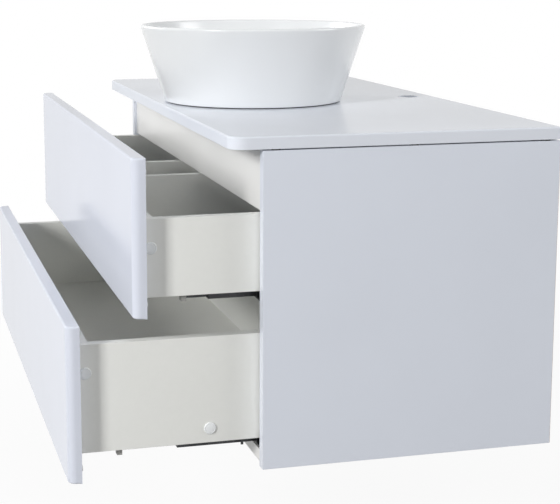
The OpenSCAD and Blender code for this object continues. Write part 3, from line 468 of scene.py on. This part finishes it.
def lathe(profile, segments=48, lift=None):
    """A profile of points (r, z) turned about Z.

    Point (i, j) = (r_i cos a_j, r_i sin a_j, z_i) with a_j = 2 pi j / segments. A profile that
    starts and ends on the axis, at r = 0, is closed there by fans, and any other is closed into
    a ring. It runs against the clock in (r, z), which turns its faces outwards. lift(points)
    may move the grid of points before it is closed.
    """
    profile = np.asarray(profile, float)
    on_axis = profile[0, 0] == 0 and profile[-1, 0] == 0
    rows = profile[1:-1] if on_axis else profile
    angle = np.arange(segments) * TAU / segments
    r, z = rows[:, 0][:, None], rows[:, 1][:, None]
    points = np.stack([r * np.cos(angle), r * np.sin(angle), z + 0 * angle], -1)
    if lift:
        points = lift(points)
    faces = grid_faces(len(rows), segments, wrap_rows=not on_axis, wrap_columns=True)
    points = points.reshape(-1, 3)
    if on_axis:
        j = np.arange(segments)
        j2 = (j + 1) % segments
        low, high = len(points), len(points) + 1
        last = (len(rows) - 1) * segments
        faces += np.stack([low + 0 * j, j2, j], -1).tolist()
        faces += np.stack([high + 0 * j, last + j, last + j2], -1).tolist()
        points = np.concatenate([points, [[0, 0, profile[0, 1]], [0, 0, profile[-1, 1]]]])
    return points, faces


def turned(shape, origin, direction):
    """A shape made about Z, carried to origin with its Z along direction, an axis of the frame.

    The two other axes are u, direction with its parts moved on by one, and direction x u.
    """
    points, faces = shape
    d = np.asarray(direction, float)
    u = np.roll(d, 1)
    return points @ np.stack([u, np.cross(d, u), d]) + np.asarray(origin), faces


def joined(shapes):
    """Several shapes as one: all their points, and their faces counted on."""
    points, faces, count = [], [], 0
    for shape_points, shape_faces in shapes:
        points.append(shape_points)
        faces += [[index + count for index in face] for face in shape_faces]
        count += len(shape_points)
    return np.concatenate(points), faces


def islands(node):
    """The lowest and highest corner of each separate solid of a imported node, in order.

    Points closer than 10 micrometres count as one. Each takes the smallest label among the
    triangles that it belongs to, over and over, until no label changes.
    """
    mesh = frame["nodes"][node].data
    points = np.empty(len(mesh.vertices) * 3)
    mesh.vertices.foreach_get("co", points)
    points = points.reshape(-1, 3)
    corners = np.empty(len(mesh.loops), int)
    mesh.loops.foreach_get("vertex_index", corners)
    _, same = np.unique(np.round(points / 1e-5).astype(int), axis=0, return_inverse=True)
    triangles = same.ravel()[corners].reshape(-1, 3)
    label, before = np.arange(same.max() + 1), None
    while before is None or (label != before).any():
        before = label.copy()
        np.minimum.at(label, triangles.ravel(), np.repeat(label[triangles].min(1), 3))
        label = label[label]
    owner = label[same.ravel()]
    boxes = [
        (points[owner == one].min(0), points[owner == one].max(0)) for one in np.unique(owner)
    ]
    return sorted(boxes, key=lambda box: tuple(np.round(box[0] + box[1], 4)))


# ---------------------------------------------------------------- operators


class VANITY_OT_finishes(bpy.types.Operator):
    """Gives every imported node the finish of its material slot, and soft edges to the boards"""

    bl_idname = "vanity.finishes"
    bl_label = "Finishes and edges"

    def execute(self, context):
        build_finishes(context.scene.vanity_colours)
        slot_of = {s["node"]: s["material_slot"] for s in frame["record"]["subparts"]}
        rails = ("front_rail", "rear_rail_top", "rear_rail_bottom", "bottom_panel")
        for name, node in frame["nodes"].items():
            finish = FINISHES["rail" if name in rails else slot_of[name]]
            node.data.materials.clear()
            node.data.materials.append(finish.material)
        return {"FINISHED"}


class VANITY_OT_basin(bpy.types.Operator):
    """Makes the glazed basin: a lathe-turned bowl with a round rim and a hollow foot"""

    bl_idname = "vanity.basin"
    bl_label = "Basin"

    def execute(self, context):
        sizes = context.scene.vanity_sizes
        low, high = (np.array(corner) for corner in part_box("basin"))
        centre = np.array([(low[0] + high[0]) / 2, (low[1] + high[1]) / 2, low[2]])
        shape = lathe(self.section(sizes, (high[0] - low[0]) / 2, high[2] - low[2]), 288,
                      self.kiln_set)
        piece = make_piece("basin_glazed", shape[0] + centre, shape[1], "cabinet",
                           "basin_glaze", smooth_angle=40.0)
        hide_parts("basin")
        return {"FINISHED"}

    def kiln_set(self, points):
        """The fired bowl is out of round by a few tenths: r shrinks by up to 0.0012 r."""
        angle = np.arctan2(points[..., 1], points[..., 0])
        height = points[..., 2] / points[..., 2].max()
        shrink = 0.0006 * height * (2 + np.sin(2 * angle + 0.7) + np.sin(3 * angle))
        points[..., :2] *= (1 - shrink / 2)[..., None]
        return points

    def section(self, sizes, rim_r, height):
        """Foot, straight outer wall, round rim, inner wall, hollow corner, floor and drain.

        The outer wall leans by the angle whose tangent is height / (rim_r - foot_r). Round
        corners are arcs that touch both of their neighbours.
        """
        foot_r, wall, floor_t = sizes.foot_radius, sizes.basin_wall, sizes.basin_floor
        lean = math.atan2(height, rim_r - foot_r)
        fall_deg = 1.5
        fall = math.radians(fall_deg)
        along = np.array([math.cos(lean), math.sin(lean)])
        inwards = np.array([-math.sin(lean), math.cos(lean)])
        foot = np.array([foot_r, 0.0])
        edge_r, corner_r, half = 3 * MM, sizes.bowl_corner, wall / 2
        foot_c = foot + edge_r * (1 - math.cos(lean)) / math.sin(lean) * along + edge_r * inwards
        reach = (height - half - half * math.cos(lean)) / math.sin(lean)
        rim_c = foot + reach * along + half * inwards
        depth = wall + corner_r
        q = (
            corner_r + (foot_r - depth * math.sin(lean)) * math.sin(fall)
            - (depth * math.cos(lean) - floor_t) * math.cos(fall)
        ) / math.sin(lean - fall)
        bowl_c = foot + q * along + depth * inwards
        seat_r, drain_r = sizes.seat_radius, sizes.drain_radius
        seat_depth, hollow, foot_ring = 2.5 * MM, 5 * MM, 16 * MM
        seat_z = floor_t + seat_r * math.tan(fall)
        lean_deg = math.degrees(lean)
        outer_start = foot_c - edge_r * inwards
        outer_end = rim_c - half * inwards
        inner_start = rim_c + half * inwards
        inner_end = bowl_c - corner_r * inwards
        floor_start = bowl_c + corner_r * np.array([math.sin(fall), -math.cos(fall)])
        floor_end = np.array([seat_r, seat_z])
        step = np.linspace(0, 1, 14)[1:-1, None]
        return np.concatenate([
            arc(foot_c, edge_r, -90, lean_deg - 90, 8),
            outer_start + (outer_end - outer_start) * step,
            arc(rim_c, half, lean_deg - 90, lean_deg + 90, 24),
            inner_start + (inner_end - inner_start) * step,
            arc(bowl_c, corner_r, lean_deg - 90, fall_deg - 90, 20),
            floor_start + (floor_end - floor_start) * step,
            [[seat_r, seat_z], [seat_r, seat_z - seat_depth], [drain_r, seat_z - seat_depth],
             [drain_r, hollow], [foot_r - foot_ring, hollow],
             [foot_r - foot_ring, 0.5 * MM], [foot_r - foot_ring + 0.5 * MM, 0.0]],
        ])


class VANITY_OT_waste(bpy.types.Operator):
    """Makes the domed waste plug with its rubber ring, and the thread of the waste"""

    bl_idname = "vanity.waste"
    bl_label = "Waste plug and thread"

    def execute(self, context):
        low, high = (np.array(corner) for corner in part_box("waste_plug"))
        x, y = (low[:2] + high[:2]) / 2
        r = (high[0] - low[0]) / 2
        thick, dome_h = 4.2 * MM, 2.1 * MM
        under = high[2] - thick
        stem_r = context.scene.vanity_sizes.stem_radius
        groove_in, groove_out, groove_z = r - 5.2 * MM, r - 3.3 * MM, under + 1.4 * MM
        dome = arc((0.0, under + thick - 4 * r), 4 * r, 78, 90, 14)
        dome[:, 1] = under + dome_h + (dome[:, 1] - dome[0, 1]) * dome_h / (
            dome[-1, 1] - dome[0, 1])
        dome[:, 0] *= (r - 1.2 * MM) / dome[0, 0]
        cap = np.concatenate([
            [[0, low[2]], [stem_r * 0.8, low[2]], [stem_r, low[2] + 0.6 * MM],
             [stem_r, under - 1 * MM], [stem_r + 1.5 * MM, under], [groove_in, under],
             [groove_in, groove_z], [groove_out, groove_z],
             [groove_out, under], [r - 0.4 * MM, under], [r, under + 0.4 * MM],
             [r, under + 1.2 * MM], [r - 0.3 * MM, under + 1.8 * MM]],
            dome,
        ])
        cap[-1, 0] = 0
        points, faces = lathe(cap, 96)
        plug = make_piece("waste_plug_cap", points + (x, y, 0), faces, "plug", "chrome")
        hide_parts("waste_plug")
        centre = ((groove_in + groove_out) / 2, under + 0.64 * MM)
        ring = arc(centre, 0.9 * MM, 0, 360, 13)[:-1]
        points, faces = lathe(ring, 96)
        make_piece("waste_plug_ring", points + (x, y, 0), faces, "plug", "rubber")
        self.thread(x, y)
        return {"FINISHED"}

    def thread(self, x, y):
        """A ridge along a helix: r = r0 + h f(t), z = z0 + pitch a / 2 pi, with f fading in and
        out over the first and the last turn, and a triangle as its section."""
        tube_r = 20.9 * MM
        z0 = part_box("trap_nuts")[1][2] + 0.4 * MM
        z1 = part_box("waste_nut")[0][2] - 0.4 * MM
        pitch, segments = 2 * MM, 48
        turns = int((z1 - z0 - pitch) / pitch)
        a = np.linspace(0, turns * TAU, turns * segments + 1)
        fade = np.clip(np.minimum(a, a[-1] - a) / TAU, 0, 1)
        section = np.array([[-0.4, -0.8], [0.55, 0.0], [-0.4, 0.8]]) * MM
        r = tube_r + section[None, :, 0] * (0.3 + 0.7 * fade[:, None])
        z = z0 + pitch / 2 + pitch * a[:, None] / TAU + section[None, :, 1]
        points = np.stack([r * np.cos(a)[:, None], r * np.sin(a)[:, None], z], -1)
        faces = [f[::-1] for f in grid_faces(len(a), 3, wrap_columns=True)]
        last = 3 * (len(a) - 1)
        faces += [[0, 1, 2], [last + 2, last + 1, last]]
        make_piece("waste_thread", points.reshape(-1, 3) + (x, y, 0), faces, "cabinet", "chrome")


class VANITY_OT_screws(bpy.types.Operator):
    """Makes the pan-head screws, each with a cross recess in a domed head"""

    bl_idname = "vanity.screws"
    bl_label = "Screws"

    def execute(self, context):
        sets = (
            ("runner_screws", "cabinet", 0), ("bracket_screws", "cabinet", 0),
            ("upper_front_screws", "upper_drawer", 1), ("lower_front_screws", "lower_drawer", 1),
        )
        for node, body, axis in sets:
            shapes = [self.screw(low, high, axis) for low, high in islands(node)]
            piece = make_piece(node + "_cross", *joined(shapes), body, "zinc_steel",
                               smooth_angle=50.0)
            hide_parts(node)
        return {"FINISHED"}

    def screw(self, low, high, axis):
        """A screw in its packed box: the head lies at the end nearer the middle, or inside."""
        middle = (low + high) / 2
        side = 1.0 if axis == 1 else -np.sign(middle[0])
        across = 2 if axis == 0 else 0
        head_r = (high[across] - low[across]) / 2
        length = high[axis] - low[axis]
        top = middle.copy()
        top[axis] = (high if side > 0 else low)[axis]
        direction = np.zeros(3)
        direction[axis] = side
        return turned(self.shape(head_r, length), top, direction)

    def shape(self, head_r, length):
        """Shank, underside, rounded rim and dome, with the head's top at z = 0."""
        shank_r, head_t = head_r * 0.53, 1.6 * MM
        dome = arc((0.0, -1.2 * head_r * 1.6), 1.2 * head_r * 1.6, 62, 90, 12)
        dome[:, 0] *= head_r * 0.93 / dome[0, 0]
        dome[:, 1] = -0.75 * MM + (dome[:, 1] - dome[0, 1]) * 0.75 * MM / (
            dome[-1, 1] - dome[0, 1])
        profile = np.concatenate([
            [[0, -length], [0.4 * shank_r, -length], [shank_r, -length + 1.5 * MM],
             [shank_r, -head_t], [head_r * 0.97, -head_t], [head_r, -head_t + 0.2 * MM],
             [head_r, -1.05 * MM]],
            dome,
        ])
        profile[-1, 0] = 0
        return lathe(profile, 48, lambda points: self.recess(points, head_r))

    def recess(self, points, head_r):
        """Sinks a cross of depth 0.9 mm x s. s falls from 1 to 0 as the smaller of |x| and |y|
        goes from 0.11 to 0.17 of the head's radius, and again as the distance from the middle
        goes from 0.50 to 0.62 of it."""
        x, y = np.abs(points[..., 0]), np.abs(points[..., 1])
        inside = np.clip((0.62 * head_r - np.hypot(x, y)) / (0.12 * head_r), 0, 1)
        slot = np.clip((0.17 * head_r - np.minimum(x, y)) / (0.06 * head_r), 0, 1)
        top = points[..., 2] > -0.75 * MM
        points[..., 2] -= np.where(top, 0.9 * MM * inside * slot, 0)
        return points


class VANITY_OT_caps(bpy.types.Operator):
    """Makes the round caps on the drawer sides: a raised rim round a flat dome"""

    bl_idname = "vanity.caps"
    bl_label = "Screw caps"

    def execute(self, context):
        for level in ("upper", "lower"):
            node = f"{level}_screw_caps"
            shapes = []
            for low, high in islands(node):
                middle = (low + high) / 2
                side = np.sign(middle[0])
                base = middle.copy()
                base[0] = (low if side > 0 else high)[0]
                shapes.append(turned(
                    self.cap((high[2] - low[2]) / 2, high[0] - low[0]), base, (side, 0, 0)
                ))
            piece = make_piece(node + "_domed", *joined(shapes), f"{level}_drawer",
                               "white_plastic", material="cap", smooth_angle=60.0)
            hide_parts(node)
        return {"FINISHED"}

    def cap(self, r, t):
        """Flat underside, rounded rim, a shallow groove and a dome z = t - k x^2."""
        groove = arc((0.74 * r, 0.88 * t), 0.06 * r, 0, -180, 9)
        groove[:, 1] = 0.88 * t + (groove[:, 1] - 0.88 * t) * 0.9
        x = np.linspace(0.64 * r, 0, 10)
        dome = np.stack([x, t - 0.1 * t * (x / (0.64 * r)) ** 2], -1)
        return lathe(np.concatenate([
            [[0, 0], [0.97 * r, 0], [r, 0.03 * r], [r, 0.25 * t]],
            arc((r - 0.6 * t, 0.28 * t), 0.6 * t, 0, 80, 8),
            groove, dome,
        ]), 40)


class VANITY_OT_cages(bpy.types.Operator):
    """Makes the ball cages of the runners: moulded strips with collars, and steel balls"""

    bl_idname = "vanity.cages"
    bl_label = "Ball cages"

    def execute(self, context):
        for level in ("upper", "lower"):
            for ring in ("outer", "inner"):
                node, body = f"{level}_{ring}_ball_cages", f"{level}_{ring}_cage_set"
                boxes = islands(node)
                strips = [b for b in boxes if b[1][1] - b[0][1] > 20 * MM]
                balls = [b for b in boxes if b[1][1] - b[0][1] <= 20 * MM]
                centres = np.array([(low + high) / 2 for low, high in balls])
                ball_r = (balls[0][1][2] - balls[0][0][2]) / 2
                shapes = [self.strip(low, high) for low, high in strips]
                shapes += [turned(self.collar(ball_r), c, (1, 0, 0)) for c in centres]
                piece = make_piece(f"{level}_{ring}_cage_strips", *joined(shapes), body,
                                   "grey_plastic")
                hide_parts(node)
                shapes = [turned(self.ball(ball_r), c, (1, 0, 0)) for c in centres]
                make_piece(f"{level}_{ring}_cage_balls", *joined(shapes), body, "zinc_steel")
        return {"FINISHED"}

    def strip(self, low, high):
        """A flat bar with rounded corners: rings of one outline, drawn in near both faces."""
        t, length, height = high - low
        edge = 0.25 * MM
        rings = []
        for inset, x in ((edge, 0.0), (0.0, edge), (0.0, t - edge), (edge, t)):
            r = height / 3 - inset
            corners = [
                arc((cy, cz), r, start, start + 90, 6)
                for cy, cz, start in (
                    (length - height / 3, height * 2 / 3, 0), (height / 3, height * 2 / 3, 90),
                    (height / 3, height / 3, 180), (length - height / 3, height / 3, 270),
                )
            ]
            outline = np.concatenate(corners)
            rings.append(np.insert(outline, 0, x, axis=1))
        return np.concatenate(rings) + low, ring_faces(len(rings), len(rings[0]))

    def collar(self, ball_r):
        """A torus round a ball's pocket."""
        return lathe(arc((ball_r + 0.45 * MM, 0.0), 0.62 * MM, -180, 180, 9)[:-1], 20)

    def ball(self, ball_r):
        profile = arc((0.0, 0.0), ball_r, -90, 90, 9)
        profile[[0, -1], 0] = 0
        return lathe(profile, 14)


class VANITY_OT_fronts(bpy.types.Operator):
    """Makes the two lacquered drawer fronts, with every edge rounded"""

    bl_idname = "vanity.fronts"
    bl_label = "Drawer fronts"

    def execute(self, context):
        sizes = context.scene.vanity_sizes
        for level in ("upper", "lower"):
            low, high = (np.array(corner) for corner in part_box(f"{level}_front"))
            piece = make_piece(f"{level}_front_lacquered", *self.slab(low, high, sizes),
                               f"{level}_drawer", "front_lacquer", smooth_angle=40.0)
            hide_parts(f"{level}_front")
        return {"FINISHED"}

    def slab(self, low, high, sizes):
        """Rings of one plan outline, drawn in and lifted by a quarter circle at top and bottom.

        At the angle a each point lies r (1 - sin a) inside the outline and r (1 - cos a) above
        the bottom or below the top, where r is the rounding at that point of the outline.
        """
        plan, inwards, r = self.outline(low, high, sizes)
        a = np.radians(np.linspace(0, 90, 9))
        step = 0.4 * MM
        inset = np.concatenate([[r + step], r * (1 - np.sin(a))[:, None], [0 * r]])
        rise = np.concatenate([[0 * r], r * (1 - np.cos(a))[:, None], [r + step]])
        inset = np.concatenate([inset, inset[::-1]])
        z = np.concatenate([low[2] + rise, high[2] - rise[::-1]])
        points = np.concatenate([plan + inwards * inset[..., None], z[..., None]], -1)
        return points.reshape(-1, 3), ring_faces(*z.shape)

    def outline(self, low, high, sizes):
        """Plan points against the clock from the front's left end, with the way inwards and
        the rounding r at each. r falls to the back edge's over the last millimetres of a side."""
        c, edge, back = sizes.front_corner, sizes.front_edge, sizes.back_edge
        step = 1.0 * MM
        # three points on the side, between which the rounding falls to the back edge's
        side_y = high[1] - back - np.array([3.2, 1.9, 0.6]) * MM
        right = np.concatenate([
            [[high[0] - c - step, low[1]]],
            arc((high[0] - c, low[1] + c), c, -90, 0, 13),
            [[high[0], low[1] + c + step]],
            np.stack([0 * side_y + high[0], side_y], -1),
            [[high[0], high[1]]],
        ])
        ways = np.zeros_like(right)
        angle = np.radians(np.linspace(-90, 0, 13))
        ways[:15] = np.concatenate([[[0, 1]], np.stack([-np.cos(angle), -np.sin(angle)], -1),
                                    [[-1, 0]]])
        ways[15:18] = (-1, 0)
        ways[18] = (-1, -1)
        r = np.full(len(right), edge)
        r[16:] = (edge + back) / 2, back, back
        left = right[::-1] * (-1, 1) + (low[0] + high[0], 0)
        return (np.concatenate([right, left]), np.concatenate([ways, ways[::-1] * (-1, 1)]),
                np.concatenate([r, r[::-1]]))


class VANITY_OT_catches(bpy.types.Operator):
    """Makes the catches of the drawer members: bent tongues over the cabinet members' flanges"""

    bl_idname = "vanity.catches"
    bl_label = "Runner catches"

    def execute(self, context):
        sizes = context.scene.vanity_sizes
        wall_x, behind_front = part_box("side_panel_right")[0][0], 0.239
        for level in ("upper", "lower"):
            edge_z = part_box(f"{level}_side_right")[0][2]
            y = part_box(f"{level}_front")[1][1] + behind_front
            shapes = []
            for side in (-1, 1):
                points, faces = self.tongue(sizes.catch_sheet, sizes.catch_width)
                points = points + (wall_x, y, edge_z)
                if side < 0:
                    points = points * (-1, 1, 1)
                    faces = [face[::-1] for face in faces]
                shapes.append((points, faces))
            make_piece(f"{level}_runner_catches", *joined(shapes), f"{level}_drawer",
                       "runner_steel")
        return {"FINISHED"}

    def tongue(self, sheet, width):
        """A flat strip carried along a bent line in the (u, v) plane, u inwards from the
        cabinet's side and v upwards: out over the flange, round a quarter circle and down.

        A section point (n, y) of the rounded strip lies n beside the line, along its normal.
        """
        bend = 2 * MM
        top, leg, low, start = 12.25 * MM, 23.05 * MM, -14.1 * MM, 29.4 * MM
        line = np.concatenate([
            [[start, top], [start - 1 * MM, top]],
            arc((leg + bend, top - bend), bend, 90, 180, 9),
            [[leg, low + 1 * MM], [leg, low]],
        ])
        tangent = np.gradient(line, axis=0)
        tangent /= np.linalg.norm(tangent, axis=1)[:, None]
        normal = np.stack([-tangent[:, 1], tangent[:, 0]], -1)
        r, n, w = 0.4 * MM, sheet / 2, width / 2
        section = np.concatenate([
            arc((n - r, w - r), r, 0, 90, 4), arc((r - n, w - r), r, 90, 180, 4),
            arc((r - n, r - w), r, 180, 270, 4), arc((n - r, r - w), r, 270, 360, 4),
        ])
        place = line[:, None, :] + normal[:, None, :] * section[None, :, :1]
        y = np.broadcast_to(section[:, 1], place.shape[:2])
        points = np.stack([-place[..., 0], y, place[..., 1]], -1)
        return points.reshape(-1, 3), ring_faces(*points.shape[:2])


class VANITY_OT_stage(bpy.types.Operator):
    """Sets up the floor, the lamps, the even light from all around and the camera"""

    bl_idname = "vanity.stage"
    bl_label = "Floor, light and camera"

    def execute(self, context):
        stage = context.scene.vanity_stage
        self.world(context.scene, stage)
        self.floor(stage)
        # Each lamp has a name, a place, what it aims at, a width, a height and its watts.
        row = (0.1, -0.45, 0.3)
        lamps = (
            ("key_lamp", (2.52, -3.78, 1.83), row, 0.75, 1.0, 132.0),
            ("side_lamp", (-2.65, -3.2, 1.87), row, 1.4, 0.8, 32.0),
            ("left_lamp", (-3.19, -2.35, 1.54), row, 1.4, 1.4, 22.0),
            ("front_lamp", (-0.28, -4.74, 1.21), row, 1.4, 1.2, 8.0),
            ("overhead_lamp", (0.1, -0.6, 3.4), (0.1, -0.4, 0.4), 2.4, 2.4, 12.0),
            ("wall_lamp", (1.3, 2.5, 1.6), (0.0, -0.3, 0.5), 1.4, 1.4, 46.0),
            ("right_lamp", (3.8, -0.77, 1.09), row, 1.6, 1.6, 14.0),
        )
        for name, place, aim, width, height, watts in lamps:
            light = bpy.data.lights.new(name, "AREA")
            light.shape = "RECTANGLE"
            light.size, light.size_y, light.energy = width, height, watts
            lamp = bpy.data.objects.new(name, light)
            lamp.location = place
            away = np.array(place) - np.array(aim)
            lamp.rotation_euler = Vector(away).to_track_quat("Z", "Y").to_euler()
            context.scene.collection.objects.link(lamp)
        self.camera(context.scene, stage)
        return {"FINISHED"}

    def world(self, scene, stage):
        """White where it is seen straight, in gloss or through glass, and otherwise an even,
        dim light."""
        world = bpy.data.worlds.new("studio")
        world.use_nodes = True
        tree = world.node_tree
        tree.nodes.clear()
        even = put(tree, "ShaderNodeBackground",
                   {"Color": (1, 1, 1, 1), "Strength": stage.world_light}).outputs[0]
        white = put(tree, "ShaderNodeBackground",
                    {"Color": (1, 1, 1, 1), "Strength": 1.0}).outputs[0]
        both = put(tree, "ShaderNodeMixShader", {0: seen(tree), 1: even, 2: white}).outputs[0]
        put(tree, "ShaderNodeOutputWorld", {"Surface": both})
        scene.world = world

    def floor(self, stage):
        """A wide, very slightly dished sheet: z = floor_z + 0.002 (1 - cos(r / 3))."""
        half, count = 9.0, 61
        span = np.linspace(-half, half, count)
        x, y = np.meshgrid(span, span, indexing="ij")
        z = stage.floor_z + 0.002 * (1 - np.cos(np.hypot(x, y) / 3))
        mesh = bpy.data.meshes.new("floor")
        mesh.from_pydata(
            np.stack([x, y, z], -1).reshape(-1, 3).tolist(), [],
            [f[::-1] for f in grid_faces(count, count)],
        )
        mesh.polygons.foreach_set("use_smooth", np.ones(len(mesh.polygons), bool))
        floor = bpy.data.objects.new("floor", mesh)
        bpy.context.scene.collection.objects.link(floor)
        finish = Finish("floor_paint", Roughness=0.6)
        bounce = finish.mottle((0.22, 0.22, 0.22), 1.5, 0.006)
        shown = seen(finish.tree)
        finish.drive("Base Color", finish.mixed(shown, bounce, (0.95, 0.95, 0.95, 1.0)))
        white = put(finish.tree, "ShaderNodeEmission", {"Strength": 1.0}).outputs[0]
        away = put(finish.tree, "ShaderNodeVectorMath", {0: finish.place},
                   operation="LENGTH").outputs["Value"]
        share = finish.maths("MULTIPLY", shown, finish.ranged(away, 0.9, 2.5, 0.9, 1.0))
        both = put(finish.tree, "ShaderNodeMixShader",
                   {0: share, 1: finish.shader.outputs[0], 2: white}).outputs[0]
        finish.tree.links.new(both, finish.tree.nodes["Material Output"].inputs["Surface"])
        mesh.materials.append(finish.material)

    def camera(self, scene, stage):
        """Looks along d = (-cos yaw cos pitch, sin yaw cos pitch, -sin pitch)."""
        yaw, pitch = stage.camera_yaw, stage.camera_pitch
        forward = np.array([
            -math.cos(yaw) * math.cos(pitch), math.sin(yaw) * math.cos(pitch), -math.sin(pitch)
        ])
        right = np.cross(forward, (0, 0, 1))
        right /= np.linalg.norm(right)
        up = np.cross(right, forward)
        matrix = np.eye(4)
        matrix[:3, :3] = np.stack([right, up, -forward], 1)
        matrix[:3, 3] = stage.camera_place
        data = bpy.data.cameras.new("camera")
        data.lens, data.sensor_width, data.sensor_fit = stage.lens, 36.0, "HORIZONTAL"
        data.shift_x, data.shift_y = stage.shift_x, stage.shift_y
        data.clip_start, data.clip_end = 0.05, 60.0
        camera = bpy.data.objects.new("camera", data)
        scene.collection.objects.link(camera)
        camera.matrix_world = Matrix(matrix.tolist())
        scene.camera = camera


class VANITY_PT_panel(bpy.types.Panel):
    """Lists the vanity's finishes, pieces and stage"""

    bl_idname = "VANITY_PT_panel"
    bl_label = "Vanity"
    bl_space_type = "VIEW_3D"
    bl_region_type = "UI"
    bl_category = "Vanity"

    def draw(self, context):
        column = self.layout.column()
        for operator in OPERATORS:
            column.operator(operator.bl_idname)
        for group in SETTINGS:
            settings = getattr(context.scene, group)
            for key in settings.bl_rna.properties.keys():
                if key not in ("rna_type", "name"):
                    column.prop(settings, key)


OPERATORS = (
    VANITY_OT_finishes, VANITY_OT_basin, VANITY_OT_waste, VANITY_OT_screws, VANITY_OT_caps,
    VANITY_OT_cages, VANITY_OT_fronts, VANITY_OT_catches, VANITY_OT_stage,
)
SETTINGS = {
    "vanity_sizes": VanitySizes, "vanity_colours": VanityColours, "vanity_stage": VanityStage,
}
CLASSES = (*SETTINGS.values(), *OPERATORS, VANITY_PT_panel)


def register():
    for cls in CLASSES:
        bpy.utils.register_class(cls)
    for key, group in SETTINGS.items():
        setattr(bpy.types.Scene, key, PointerProperty(type=group))


def unregister():
    for key in SETTINGS:
        delattr(bpy.types.Scene, key)
    for cls in reversed(CLASSES):
        bpy.utils.unregister_class(cls)


def main():
    register()
    bpy.context.scene.view_settings.view_transform = "Standard"
    for operator in OPERATORS:
        group, name = operator.bl_idname.split(".")
        getattr(getattr(bpy.ops, group), name)()


if __name__ == "__main__":
    main()
